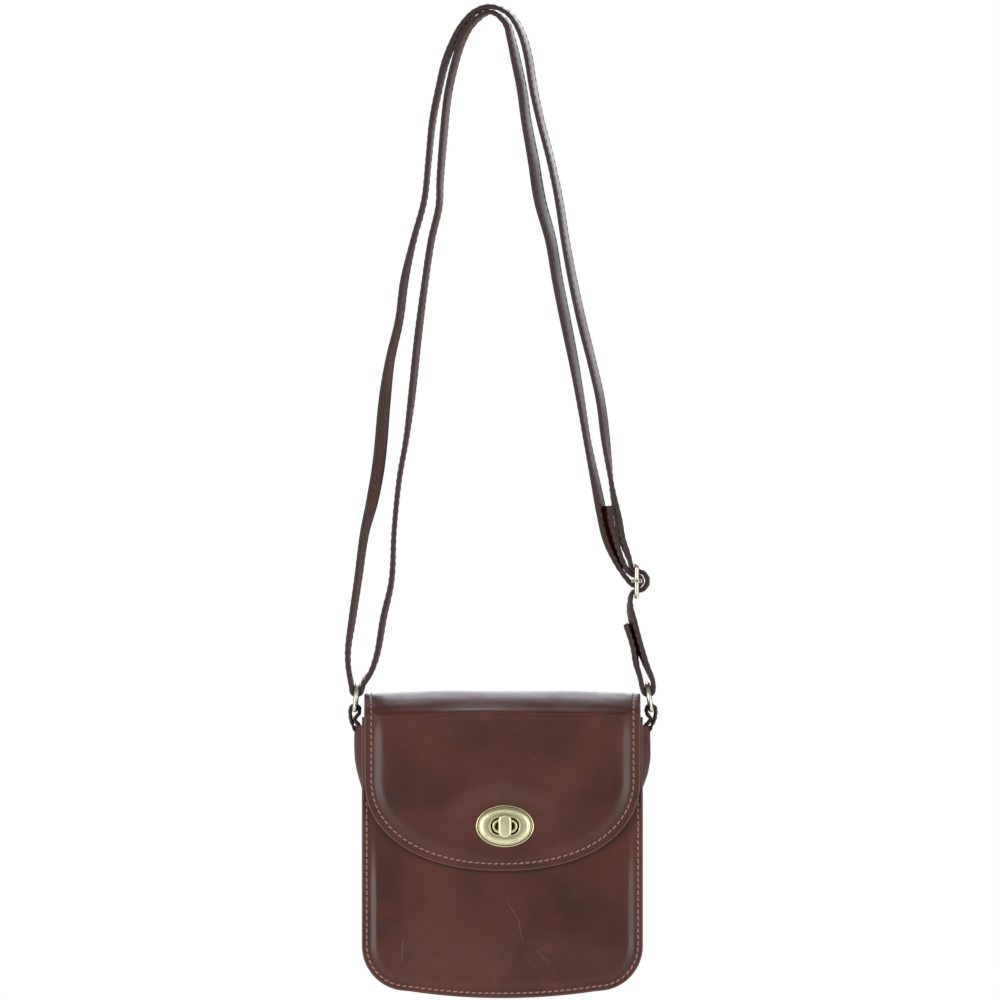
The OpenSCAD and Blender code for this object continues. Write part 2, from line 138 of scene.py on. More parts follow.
# Strap routes, where the CAD has them: x, y, z and the twist in degrees
OUTER_ROUTE = [
    (90, 0, -369.2, 0), (89.5, 0, -366, 0), (85.4, 0, -357, 7), (81.7, 0, -346, 11),
    (78.6, 0, -334, 11), (77.4, 0, -328, 6), (77.5, 0, -323.4, 1), (78.1, 0, -320.4, 0),
    (79.4, 0, -319, 0), (81.2, 0, -318.7, 0), (85.2, 0, -317.2, 0), (87.1, 0, -313, 0),
    (85.2, 0, -308.8, 0), (81.2, 0, -307.3, 0), (79.4, 0, -307, 0), (78.1, 0, -305.6, 0),
    (77.5, 0, -302.6, 0), (75.9, 0, -298, 4), (72.9, 0, -290, 8), (70.8, 0, -279, 10),
    (67.5, 0, -262, 2), (64, 0, -236, -13), (61, 0, -213, -14), (56, 0, -191, -14),
    (50.5, 0, -169, -15), (45.5, 0, -146, -14), (41.6, 0, -125, -13), (38, 0, -102, -12),
    (33.5, 0, -80.5, -11), (27.8, 0, -58.5, -11), (24, 0, -41, -12), (20.8, 0, -22, -12),
    (17, 0, -9.5, -10), (10.5, 0, 0.4, -6), (0.4, 0, 4.4, 0), (-8.5, 0, 1.4, 4),
    (-15.5, 0, -6.3, 7), (-19.9, 0, -14.4, 9), (-24.6, 0, -26, 9), (-27.6, 0, -38, 8),
    (-31.7, 0, -58.5, 7), (-34, 0, -80.6, 5), (-36.4, 0, -102.6, 4), (-42.4, 0, -125, 5),
    (-47.3, 0, -147, 11), (-50.2, 0, -169, 11), (-55.2, 0, -191, 14), (-58.2, 0, -213, 21),
    (-61.2, 0, -246, 23), (-64.9, 0, -268, 21), (-69.4, 0, -287, 13), (-72.9, 0, -312, 10),
    (-76.2, 0, -334.5, 8), (-78.4, 0, -350, 4), (-78.4, 0, -359, 2), (-77.2, 0, -366, 0),
    (-76.5, 0, -369.3, 0)
]
INNER_ROUTE = [
    (-70.3, 0, -369.9, 0), (-69.5, 0, -367.6, 0), (-65.6, 0, -362.5, -2), (-62.3, 0, -353, -4),
    (-59, 0, -334, -6), (-54.4, 0, -312.5, -3), (-53, 0, -285, -1), (-50.2, 0, -257, -2),
    (-46.4, 0, -235, -3), (-43.4, 0, -212, -8), (-40, 0, -180, -9), (-36.5, 0, -152, -7),
    (-32.4, 0, -124.5, -7), (-28.2, 0, -106, -7), (-27.6, 0, -91.6, -8), (-25.6, 0, -66, -10),
    (-23.2, 0, -44, -10), (-19.2, 0, -26, -10), (-15, 0, -13.6, -9), (-9.4, 0, -4.6, -6),
    (0, 0, 1.4, 0), (8.6, 0, -4.4, 8), (11.8, 0, -14, 13), (14.4, 0, -25.6, 16),
    (17.6, 0, -41, 17), (20, 0, -58.5, 17), (24, 0, -80.6, 20), (27.6, 0, -102.7, 22),
    (33.6, 0, -124.8, 20), (37.3, 0, -146.8, 19), (41.7, 0, -169, 19), (46.1, 0, -191, 16),
    (50, 0, -213, 12), (53.6, 0, -235, 9), (58, 0, -257, 14), (61.6, 0, -275, 18),
    (64.9, 0, -290, 16), (69.5, 0, -301.8, 7), (74.4, 0, -310.4, 0), (78, 0, -314.6, 0),
    (79.6, 0, -315.5, 0), (81, 0, -315.8, 0), (83, 0, -315, 0), (83.8, 0, -313, 0),
    (83, 0, -311, 0), (81, 0, -310.2, 0), (78.6, 0, -309.6, 0), (75.6, 0, -306.8, 1),
    (72.2, 0, -300.4, 5), (68, 0, -288.6, 12), (65.6, -1.2, -280, 16), (64.6, -1.4, -271.5, 18)
]
TAIL_ROUTE = [
    (83.8, 0, -370, 0), (82.7, 0, -365, 0), (80.6, 0, -358, 5), (79.9, 0, -351.5, 8),
    (78.5, 0, -345.6, 9), (76.8, 0, -340.5, 9), (74.9, 0, -336.8, 2)
]

# Creases in the front panel: x and z along each. Each is a thin raised ridge in a lighter leather, which is
# a painted highlight.
CREASES = [
    [(6.1, -480), (9.9, -490.2), (15.8, -500.1), (16.9, -507.3), (19.9, -518.3), (21.5, -523.8)],
    [(22.6, -510.6), (24.6, -514.5), (28.2, -519.4), (32.5, -523.6), (35.3, -528.3)],
    [(-44.7, -492.4), (-43.6, -501.2), (-46.4, -506.5), (-48, -512), (-49.1, -527.2)]
]

# The leather that folds from the back over the top to the flap: y, z of its outer face
FOLD = [
    (20, -560), (20, -450), (20, -400), (20, -391), (19.7, -386.4), (18.4, -382.3),
    (15.4, -379), (10.6, -376.4), (5, -374.9), (-1, -374.35), (-7.5, -375), (-13.5, -377.3),
    (-18.2, -380.2), (-21.4, -382.6), (-23.6, -385.2), (-24.1, -388.6), (-23.85, -394),
    (FLAP_Y, -404), (FLAP_Y, -440), (FLAP_Y, -480)
]
FOLD_SEAM = (5, -374.9)


# ---------------------------------------------------------------- small maths

def smoothstep(a, b, t):
    t = min(max((t - a) / (b - a), 0), 1)
    return t * t * (3 - 2 * t)


def mix(a, b, t):
    return a + (b - a) * t


def bell(t, width):
    return math.exp(-((t / width) ** 2))


def spread(a, b, count, power=1.0):
    """count + 1 numbers from a to b, closer together near a where power is above 1."""
    return [a + (b - a) * (i / count) ** power for i in range(count + 1)]


def ripple(x, z, size, seed):
    """Smooth noise from about -1 to 1, with lumps about size mm across."""
    return noise.noise(Vector((x / size, z / size, seed)))


def arc(cx, cz, r, start, end, count):
    """Points of an arc, angles in degrees."""
    angles = [math.radians(a) for a in spread(start, end, count)]
    return [(cx + r * math.cos(a), cz + r * math.sin(a)) for a in angles]


def smooth_route(points, step):
    """A smooth curve through a route's points, with a point about every step mm."""
    rows = [Vector(p[:3]) for p in points]
    turns = [p[3] if len(p) > 3 else 0 for p in points]
    last = len(points) - 1
    gaps = [(rows[i + 1] - rows[i]).length for i in range(last)]

    def slope(values, i):
        a, b = max(i - 1, 0), min(i + 1, last)
        return (values[b] - values[a]) / sum(gaps[a:b])

    out = []
    for i in range(last):
        count = max(2, math.ceil(gaps[i] / step))
        for k in range(count):
            t = k / count
            weights = (
                2 * t ** 3 - 3 * t ** 2 + 1,
                (t ** 3 - 2 * t ** 2 + t) * gaps[i],
                3 * t ** 2 - 2 * t ** 3,
                (t ** 3 - t ** 2) * gaps[i],
            )
            pair = []
            for values in (rows, turns):
                terms = (values[i], slope(values, i), values[i + 1], slope(values, i + 1))
                pair.append(sum((w * v for w, v in zip(weights[1:], terms[1:])), weights[0] * terms[0]))
            out.append((pair[0], pair[1]))
    out.append((rows[-1], turns[-1]))
    return out


class Fold:
    """A curve in the Y, Z plane, measured along itself from its seam: the front is positive."""

    def __init__(self, points, seam):
        route = smooth_route([(0, y, z) for y, z in points], 0.6)
        self.points = [p for p, _ in route]
        lengths = [0]
        for a, b in zip(self.points, self.points[1:]):
            lengths.append(lengths[-1] + (b - a).length)
        at_seam = min(range(len(route)), key=lambda i: (self.points[i] - Vector((0, *seam))).length)
        self.lengths = [s - lengths[at_seam] for s in lengths]

    def at(self, v):
        """The point at v and the way out of the leather there."""
        i = min(max(bisect.bisect(self.lengths, v) - 1, 0), len(self.points) - 2)
        a, b = self.points[i], self.points[i + 1]
        t = (v - self.lengths[i]) / (self.lengths[i + 1] - self.lengths[i])
        before = self.points[max(i - 1, 0)]
        after = self.points[min(i + 2, len(self.points) - 1)]
        way = ((b - before).normalized() * (1 - t) + (after - a).normalized() * t).normalized()
        return a.lerp(b, t), Vector((0, way.z, -way.y))

    def front_v(self, z):
        """Where the flap's flat front is at height z."""
        return self.lengths[-1] - (z - self.points[-1].z)

    def back_v(self, z):
        """Where the flat back is at height z."""
        return self.lengths[0] + (z - self.points[0].z)


fold = Fold(FOLD, FOLD_SEAM)
FLAP_TIP_V = fold.front_v(FLAP_TIP_Z)
FLAP_CURVE_V = FLAP_TIP_V - FLAP_CURVE_H
CREASE_V = fold.front_v(-385.6) - 0.6


# ---------------------------------------------------------------- meshes

class Shape:
    """A mesh in the making. Its mask is 1 on cut edges and in dark recesses, and 0 on clean faces: it lays
    real wear and patina, a painted highlight on the body leather's rounded edges and painted shade on the
    lock plate's dome.
    """

    def __init__(self):
        self.points = []
        self.wear_and_painted_light = []
        self.faces = []
        self.slots = []

    def grid(self, rows, slot=0, ring=False, caps=False, wear_and_painted_light=None):
        """Faces between rows of points; wear is one number for each row, or a list for each row."""
        start, count = len(self.points), len(rows[0])
        for r, row in enumerate(rows):
            self.points += [Vector(p) for p in row]
            value = 0 if wear_and_painted_light is None else wear_and_painted_light[r]
            self.wear_and_painted_light += list(value) if isinstance(value, (list, tuple)) else [value] * count
        across = count if ring else count - 1
        for r in range(len(rows) - 1):
            for k in range(across):
                a, b = start + r * count + k, start + r * count + (k + 1) % count
                self.face((a, b, b + count, a + count), slot)
        if caps:
            end = start + (len(rows) - 1) * count
            self.face(tuple(range(start, start + count)), slot)
            self.face(tuple(range(end, end + count)), slot)

    def face(self, corners, slot):
        self.faces.append(corners)
        self.slots.append(slot)

    def tube(self, path, radii, sides, slot=0, closed=False, wear_and_painted_light=None):
        """A round tube along a path, with a radius for each point or one for all."""
        rows, count = [], len(path)
        if not isinstance(radii, (list, tuple)):
            radii = [radii] * count
        side = None
        for i, p in enumerate(path):
            a = path[i - 1] if i or closed else path[0]
            b = path[(i + 1) % count] if i + 1 < count or closed else path[-1]
            along = (b - a).normalized()
            if side is None:
                side = along.orthogonal()
            side = (side - side.dot(along) * along).normalized()
            up = along.cross(side)
            turns = [2 * math.pi * k / sides for k in range(sides)]
            rows.append([p + radii[i] * (math.cos(t) * side + math.sin(t) * up) for t in turns])
        if closed:
            rows.append(rows[0])
        self.grid(rows, slot, ring=True, caps=not closed, wear_and_painted_light=wear_and_painted_light)

    def sewn(self, path, ups, pitch=PITCH, thick=0.42, thread=1, hole=2):
        """A row of stitches along a path, with a dark disc of painted shade for the needle hole between
        each two.
        """
        lengths = [0]
        for a, b in zip(path, path[1:]):
            lengths.append(lengths[-1] + (b - a).length)

        def spot(s):
            i = min(max(bisect.bisect(lengths, s) - 1, 0), len(path) - 2)
            t = (s - lengths[i]) / max(lengths[i + 1] - lengths[i], 1e-9)
            return path[i].lerp(path[i + 1], t), ups[i].lerp(ups[i + 1], t).normalized()

        number = max(1, round(lengths[-1] / pitch))
        each = lengths[-1] / number
        for i in range(number):
            line, radii = [], []
            for f, lift, share in STITCH:
                p, up = spot((i + f) * each)
                along = (spot((i + f) * each + 0.3)[0] - spot((i + f) * each - 0.3)[0]).normalized()
                line.append(p + up * thick * lift + up.cross(along) * (f - 0.5) * SLANT)
                radii.append(thick * share)
            self.tube(line, radii, 6, thread)
            # A flat dark disc of painted shade stands for the needle hole; no hole is cut.
            p, up = spot(i * each)
            side = (spot(i * each + 0.3)[0] - spot(i * each - 0.3)[0]).normalized()
            other = up.cross(side)
            turns = [2 * math.pi * k / 8 for k in range(8)]
            start = len(self.points)
            self.points += [p + up * 0.04 + 1.5 * thick * (math.cos(t) * side + 0.8 * math.sin(t) * other)
                            for t in turns]
            self.wear_and_painted_light += [0] * 8
            self.face(tuple(range(start, start + 8)), hole)

    def make(self, name, materials, sharp=38, thickness=0):
        """The Blender object, in metres; a thickness makes an open surface solid, inwards."""
        mesh = bpy.data.meshes.new(name)
        mesh.from_pydata([p * MM for p in self.points], [], self.faces)
        for material in materials:
            mesh.materials.append(material)
        mesh.polygons.foreach_set("material_index", self.slots)
        attribute = mesh.attributes.new("wear_and_painted_light", "FLOAT", "POINT")
        attribute.data.foreach_set("value", [float(w) for w in self.wear_and_painted_light])
        work = bmesh.new()
        work.from_mesh(mesh)
        bmesh.ops.remove_doubles(work, verts=work.verts, dist=0.002 * MM)
        bmesh.ops.recalc_face_normals(work, faces=work.faces)
        if thickness:
            bmesh.ops.solidify(work, geom=work.faces[:], thickness=thickness * MM)
        work.to_mesh(mesh)
        work.free()
        mesh.shade_smooth()
        mesh.set_sharp_from_angle(angle=math.radians(sharp))
        piece = bpy.data.objects.new(name, mesh)
        bpy.context.scene.collection.objects.link(piece)
        return piece


def place(piece, nodes=(), body=None, between=None):
    """Puts a piece on its body, or, when given two bodies to lie between, only bakes its transform in
    place; and hides the CAD nodes it stands for.
    """
    if between:
        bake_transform(piece)
    else:
        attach(piece, body)
    if nodes:
        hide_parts(*nodes)
    return piece


# ---------------------------------------------------------------- materials

class Paint:
    """A node material, with short ways to add nodes and join them."""

    def __init__(self, name, **settings):
        self.material = bpy.data.materials.new(name)
        self.material.use_nodes = True
        self.tree = self.material.node_tree
        self.shader = self.tree.nodes["Principled BSDF"]
        for key, value in settings.items():
            self.shader.inputs[key.replace("_", " ")].default_value = value
        self.place = self.add("TexCoord").outputs["Object"]

    def add(self, kind, settings=(), **inputs):
        made = self.tree.nodes.new("ShaderNode" + kind)
        for key, value in dict(settings).items():
            setattr(made, key, value)
        for key, value in inputs.items():
            self.put(made.inputs[key.replace("_", " ")], value)
        return made

    def put(self, socket, value):
        if isinstance(value, bpy.types.NodeSocket):
            self.tree.links.new(value, socket)
        else:
            socket.default_value = value

    def noise(self, scale, detail=3.0, distortion=0.0, roughness=0.55, where=None):
        made = self.add("TexNoise", Vector=where or self.place, Scale=scale, Detail=detail,
                        Roughness=roughness, Distortion=distortion)
        return made.outputs["Fac"]

    def cells(self, scale, feature="F1"):
        made = self.add("TexVoronoi", {"feature": feature}, Vector=self.place, Scale=scale)
        return made.outputs["Distance"]

    def stretched(self, x, y, z):
        made = self.add("Mapping", Vector=self.place)
        made.inputs["Scale"].default_value = (x, y, z)
        return made.outputs["Vector"]

    def wear_and_painted_light(self):
        return self.add("Attribute", {"attribute_name": "wear_and_painted_light"}).outputs["Fac"]

    def remap(self, value, low, high, to_low=0.0, to_high=1.0):
        made = self.add("MapRange", {"interpolation_type": "SMOOTHSTEP"})
        names = ("Value", "From Min", "From Max", "To Min", "To Max")
        for key, v in zip(names, (value, low, high, to_low, to_high)):
            self.put(made.inputs[key], v)
        return made.outputs["Result"]

    def math(self, kind, a, b=0.0):
        made = self.add("Math", {"operation": kind})
        self.put(made.inputs[0], a)
        self.put(made.inputs[1], b)
        return made.outputs[0]

    def blend(self, amount, a, b):
        made = self.add("Mix", {"data_type": "RGBA"})
        for socket, value in ((made.inputs[0], amount), (made.inputs[6], a), (made.inputs[7], b)):
            self.put(socket, value)
        return made.outputs[2]

    def bump(self, height, distance, strength=1.0, normal=None):
        made = self.add("Bump", Height=height, Distance=distance * MM, Strength=strength)
        if normal:
            self.put(made.inputs["Normal"], normal)
        return made.outputs["Normal"]

    def finish(self, colour, roughness, normal=None):
        self.put(self.shader.inputs["Base Color"], colour)
        self.put(self.shader.inputs["Roughness"], roughness)
        if normal:
            self.put(self.shader.inputs["Normal"], normal)
        return self.material


def rgb(r, g, b):
    """A colour from its screen values, 0 to 255."""
    return tuple((v / 255) ** 2.2 for v in (r, g, b)) + (1.0,)


def leather(name, deep, mid, warm, edge, rough=0.42, veins=0.25, coat=0.1):
    """Waxed pull-up leather: clouded colour, fine pores, thin pale veins, and an edge colour on cut edges:
    the strap's dark dressed edges, and a pale painted highlight on the body leather's rounded edges.
    """
    p = Paint(name, Coat_Weight=coat, Coat_Roughness=0.3, Specular_IOR_Level=0.4)
    cloud = p.noise(16, 5, 0.6)
    patch = p.noise(46, 4, 0.3)
    colour = p.blend(p.remap(cloud, 0.3, 0.7), deep, mid)
    colour = p.blend(p.remap(patch, 0.42, 0.8, 0, 0.55), colour, warm)
    fleck = p.noise(420, 3)
    colour = p.blend(p.remap(fleck, 0.35, 0.75, 0, 0.2), colour, deep)
    flow = p.noise(26, 3, 1.1, 0.6, p.stretched(1.6, 1.0, 0.55))
    line = p.remap(p.math("ABSOLUTE", p.math("SUBTRACT", flow, 0.5)), 0.0, 0.007, 1, 0)
    mask = p.remap(p.noise(13, 2), 0.52, 0.66, 0, 1)
    vein = p.math("MULTIPLY", line, mask)
    pale = tuple(min(1, 1.9 * v + 0.03) for v in mid[:3]) + (1.0,)
    colour = p.blend(p.math("MULTIPLY", vein, 0.55 * veins), colour, pale)
    worn_and_highlit = p.wear_and_painted_light()
    # The edge colour goes where the mask is high: the strap's own dark dressed edge, and on body leather a
    # painted highlight.
    colour = p.blend(p.math("MULTIPLY", worn_and_highlit, 0.9), colour, edge)
    roughness = p.math("ADD", p.remap(cloud, 0.3, 0.7, rough - 0.04, rough + 0.08),
                       p.math("MULTIPLY", worn_and_highlit, 0.15))
    pores = p.math("ADD", p.math("MULTIPLY", p.cells(1100), 0.6), p.math("MULTIPLY", fleck, 0.5))
    normal = p.bump(pores, 0.10, 0.35)
    normal = p.bump(vein, 0.16, 0.5 * veins, normal) if veins else normal
    normal = p.bump(p.noise(60, 4, 0.4), 0.7, 0.35, normal)
    return p.finish(colour, roughness, normal)


def metal(name, clean, dark, rough=0.3):
    """Plated metal with an antique finish: dark in its recesses, brushed and slightly uneven."""
    p = Paint(name, Metallic=1.0)
    tone = p.noise(180, 4)
    brushed = p.noise(900, 2, 0, 0.5, p.stretched(1, 1, 0.12))
    colour = p.blend(p.remap(tone, 0.45, 0.8, 0, 0.35), clean, dark)
    # Darker where the mask is high: patina in recesses, and over the lock plate's dome flat a painted
    # shade.
    colour = p.blend(p.remap(p.wear_and_painted_light(), 0.1, 0.9), colour, dark)
    uneven = p.math("ADD", tone, p.math("MULTIPLY", brushed, 0.4))
    roughness = p.remap(uneven, 0.4, 1.0, rough - 0.06, rough + 0.16)
    normal = p.bump(brushed, 0.02, 0.3)
    return p.finish(colour, roughness, normal)


def twisted_thread(name, colour, shade):
    p = Paint(name, Sheen_Weight=0.3)
    wave = p.add("TexWave", {"bands_direction": "DIAGONAL"}, Vector=p.place, Scale=900.0, Distortion=1.0)
    tone = p.noise(300, 2)
    ply = wave.outputs["Fac"]
    return p.finish(p.blend(p.math("MULTIPLY", ply, tone), colour, shade), 0.7, p.bump(ply, 0.08, 0.6))


def woven(name, light, dark):
    """Plain weave lining cloth."""
    p = Paint(name, Sheen_Weight=0.25, Sheen_Roughness=0.5, Specular_IOR_Level=0.25)
    threads = []
    for direction in ("X", "Z"):
        wave = p.add("TexWave", {"bands_direction": direction, "wave_profile": "SIN"},
                     Vector=p.place, Scale=420.0, Distortion=0.6, Detail=1.0)
        threads.append(wave.outputs["Fac"])
    over = p.math("MAXIMUM", threads[0], threads[1])
    colour = p.blend(p.math("MULTIPLY", over, p.remap(p.noise(60, 4), 0.3, 0.7, 0.5, 1)), dark, light)
    return p.finish(colour, 0.82, p.bump(over, 0.15, 0.6))


def plain(name, colour, roughness):
    """A dark colour that is barely seen, with a little unevenness: the painted shade of the needle holes.
    """
    p = Paint(name)
    tone = p.blend(p.noise(200, 3), colour, tuple(0.6 * v for v in colour[:3]) + (1.0,))
    return p.finish(tone, roughness, p.bump(p.noise(500, 2), 0.05, 0.3))


DEEP = rgb(62, 32, 28)
MID = rgb(80, 41, 30)
WARM = rgb(88, 42, 26)
# The pale mauve edge colour is a painted highlight on the rounded cut edges of the body, gusset and crease
# leather.
EDGE_HIGHLIGHT = rgb(98, 70, 64)

body_leather = leather("body_leather", DEEP, MID, WARM, EDGE_HIGHLIGHT)
gusset_leather = leather("gusset_leather", rgb(58, 32, 28), rgb(82, 50, 44), rgb(92, 50, 40), EDGE_HIGHLIGHT,
                         0.46, 0.1)
strap_leather = leather("strap_leather", rgb(62, 40, 36), rgb(88, 54, 46), rgb(112, 56, 42),
                        rgb(44, 32, 30), 0.46, 0.0)
brass = metal("antique_brass", rgb(234, 226, 182), rgb(58, 52, 28), 0.38)
nickel = metal("old_nickel", rgb(226, 222, 204), rgb(74, 70, 56), 0.32)
steel = metal("blackened_steel", rgb(118, 112, 106), rgb(40, 36, 34), 0.4)
thread = twisted_thread("thread", rgb(158, 116, 102), rgb(110, 74, 66))
strap_thread = twisted_thread("strap_thread", rgb(108, 82, 76), rgb(70, 52, 48))
# Painted shade for the needle holes, laid on flat discs.
needle_hole_shade = plain("needle_hole_shade", rgb(26, 14, 12), 0.9)
lining_cloth = woven("lining_cloth", rgb(96, 80, 66), rgb(44, 34, 28))

# A lighter leather for the crease ridges: a painted highlight.
crease_highlight_leather = leather("crease_highlight_leather", rgb(84, 50, 40), rgb(102, 64, 52), rgb(98, 58, 46), EDGE_HIGHLIGHT,
                         0.5, 0.0)

LEATHER_SET = [body_leather, thread, needle_hole_shade, crease_highlight_leather]
STRAP_SET = [strap_leather, strap_thread, needle_hole_shade]


# ---------------------------------------------------------------- outlines, with an inset

def flap_edge_z(x):
    """Height of the flap's bottom edge at x."""
    share = min(abs(x - BAG_X) / FLAP_HALF_W, 1)
    return FLAP_TIP_Z + FLAP_CURVE_H * (1 - (1 - share ** FLAP_FULLNESS) ** (1 / FLAP_FULLNESS))


def mirrored(points):
    return [(2 * BAG_X - x, v) for x, v in reversed(points)]


def flap_curve(half, drop, count):
    """Left half of the flap's bottom curve, without its first point and its tip: x, v."""
    angles = [math.radians(a) for a in spread(0, 90, count)][1:-1]
    power = 2 / FLAP_FULLNESS
    return [(BAG_X - half * math.cos(a) ** power, FLAP_CURVE_V + drop * math.sin(a) ** power)
            for a in angles]


def flap_loop(inset):
    """From the seam down the flap's left side, round its curve and up its right side: x, v."""
    half, drop = FLAP_HALF_W - inset, FLAP_CURVE_H - inset
    heights = spread(0, CREASE_V - 8, 26)[:-1] + spread(CREASE_V - 8, CREASE_V + 8, 44)[:-1]
    heights += spread(CREASE_V + 8, FLAP_CURVE_V, 30)
    left = [(BAG_X - half, v) for v in heights]
    left += flap_curve(half, drop, 56)
    return left + [(BAG_X, FLAP_CURVE_V + drop)] + mirrored(left)


def panel_side(inset):
    """Half of a panel's outline from its left corner to the middle of its bottom: x, z."""
    bow_half = HALF_W - CORNER_R
    bow_r = (bow_half ** 2 + BOTTOM_BOW ** 2) / (2 * BOTTOM_BOW)
    corner_z = BOTTOM_Z + BOTTOM_BOW + CORNER_R
    lean = math.degrees(math.asin(bow_half / bow_r))
    corner = arc(BAG_X - bow_half, corner_z, CORNER_R - inset, 180, 270 - lean, 22)
    bottom = arc(BAG_X, BOTTOM_Z + bow_r, bow_r - inset, 270 - lean, 270, 30)
    return corner + bottom[1:]


def back_loop(inset):
    """From the seam down the left of the back, round its bottom and up its right: x, v."""
    low_v = fold.back_v(BOTTOM_Z + BOTTOM_BOW + CORNER_R)
    left = []
    for v in spread(0, low_v, 90, 1.3)[:-1]:
        half = mix(FLAP_HALF_W, HALF_W, smoothstep(fold.back_v(-386), fold.back_v(-398), v))
        left.append((BAG_X - half + inset, v))
    left += [(x, fold.back_v(z)) for x, z in panel_side(inset)]
    return left[:-1] + [(BAG_X, left[-1][1])] + mirrored(left[:-1])


def panel_loop(inset, top=FRONT_TOP_Z):
    """The whole outline of the front panel: x, z."""
    heights = spread(top - inset, BOTTOM_Z + BOTTOM_BOW + CORNER_R, 80)[:-1]
    side = [(BAG_X - HALF_W + inset, z) for z in heights]
    left = side + panel_side(inset)
    across = [(x, top - inset) for x in spread(BAG_X + HALF_W - inset, BAG_X - HALF_W + inset, 60)[1:-1]]
    return left[:-1] + [left[-1]] + mirrored(left[:-1]) + across


def flat_area(outline):
    """Area inside a closed outline of x, v points."""
    following = outline[1:] + outline[:1]
    return abs(sum(a[0] * b[1] - b[0] * a[1] for a, b in zip(outline, following))) / 2


def drawn_in(loop, insets, spine, steps):
    """Rows of x, v and the distance in from the edge: true insets first, then drawn in to a spine."""
    rows = [[(x, v, d) for x, v in loop(d)] for d in insets]
    last = insets[-1]
    for k in range(1, steps + 1):
        f = k / steps
        row = []
        for x, v in loop(last):
            sx, sv = spine(x, v)
            row.append((mix(x, sx, f), mix(v, sv, f), last + math.hypot(sx - x, sv - v) * f))
        rows.append(row)
    return rows


def clamp_spine(low, high):
    return lambda x, v: (BAG_X, min(max(v, low), high))


# ---------------------------------------------------------------- leather relief

def rim(d, stitch_in):
    """Rounded cut edge and the pressed groove that the stitches lie in."""
    edge = -0.55 * (1 - smoothstep(0, 0.7, d) ** 0.5)
    return edge - 0.32 * bell(d - stitch_in, 0.55) - 0.12 * bell(d - stitch_in - 1.5, 0.5)


# 1 at the cut edge, falling to 0 by 0.8 mm in: it lifts the back, and in the mask it lays the painted edge
# highlight of the body leather.
def near_cut_edge(d):
    return 1 - smoothstep(0.1, 0.8, d)


def lock_calm(x, z):
    """0 under the lock plate and 1 away from it: the leather is drawn in round the plate."""
    q = math.hypot((x - LOCK_X) / (PLATE_W / 2), (z - LOCK_Z) / (PLATE_H / 2))
    return smoothstep(0.9, 2.2, q)


def flap_share(v):
    """0 on the flat back and 1 on the roof and the flap, which are sewn further in."""
    return smoothstep(fold.back_v(-400), fold.back_v(-388), v)


def fold_stitch_in(v):
    return mix(STITCH_IN, FLAP_STITCH_IN, flap_share(v))


def fold_relief(x, v, d):
    """Height of the folding leather's face over its curve."""
    point, _ = fold.at(v)
    w = rim(d, fold_stitch_in(v))
    shoulder = smoothstep(5, 11, d)
    middle = smoothstep(8, 50, d)
    to_tip = smoothstep(FLAP_CURVE_V + 8, FLAP_TIP_V - 8, v)
    puff = 1.9 * shoulder * mix(1, 0.45, to_tip) + 1.1 * middle
    if v > CREASE_V - 4:
        on_leaf = smoothstep(CREASE_V - 4, CREASE_V + 16, v)
        w += mix(0.2, 1, on_leaf) * lock_calm(x, point.z) * puff
    else:
        w += 0.2 * puff
    if v < 0:
        on_back = smoothstep(fold.back_v(-384), fold.back_v(-415), v)
        w += on_back * (1.3 * shoulder + 1.4 * middle)
    before_leaf = 1 - smoothstep(CREASE_V - 2, CREASE_V + 8, v)
    on_roof = smoothstep(fold.back_v(-392), fold.back_v(-384), v) * before_leaf
    share = (x - BAG_X) / FLAP_HALF_W
    w -= on_roof * 0.9 * share ** 2
    ridge_v = CREASE_V + 1.6 - 1.3 * math.cos(share * 2.6) + 0.5 * math.sin(share * 7)
    w += shoulder * (0.4 * bell(v - ridge_v, 1.2) - 0.3 * bell(v - ridge_v + 4.6, 3.4))
    w += on_roof * 0.5 * (bell(share + 0.45, 0.3) + bell(share - 0.5, 0.3)) * bell(v - 0.3 * CREASE_V, 5)
    w += shoulder * (0.22 * ripple(x, v, 21, 3.1) + 0.10 * ripple(x, v, 8, 7.7))
    return w


def edge_distance(x, z):
    """How far a point of the front panel is from its sides and bottom."""
    return min(HALF_W - abs(x - BAG_X), z - BOTTOM_Z - BOTTOM_BOW * ((x - BAG_X) / HALF_W) ** 2)


def front_relief(x, z, d):
    """Height of the front panel's face: full below the flap, and held flat under it."""
    free = mix(0.12, 1, smoothstep(-8, 45, flap_edge_z(x) - z))
    low = mix(1, 0.45, smoothstep(-512, -538, z))
    w = rim(d, STITCH_IN) + free * (1.5 * low * smoothstep(4.6, 8.6, d) + 2.4 * smoothstep(7, 55, d))
    return w + free * smoothstep(5, 9, d) * (0.25 * ripple(x, z, 24, 1.3) + 0.12 * ripple(x, z, 9, 5.2))


def on_fold(x, v, w):
    point, out = fold.at(v)
    return Vector((x, point.y, point.z)) + out * w


def on_front(x, z, w):
    return Vector((x, FRONT_Y - w, z))


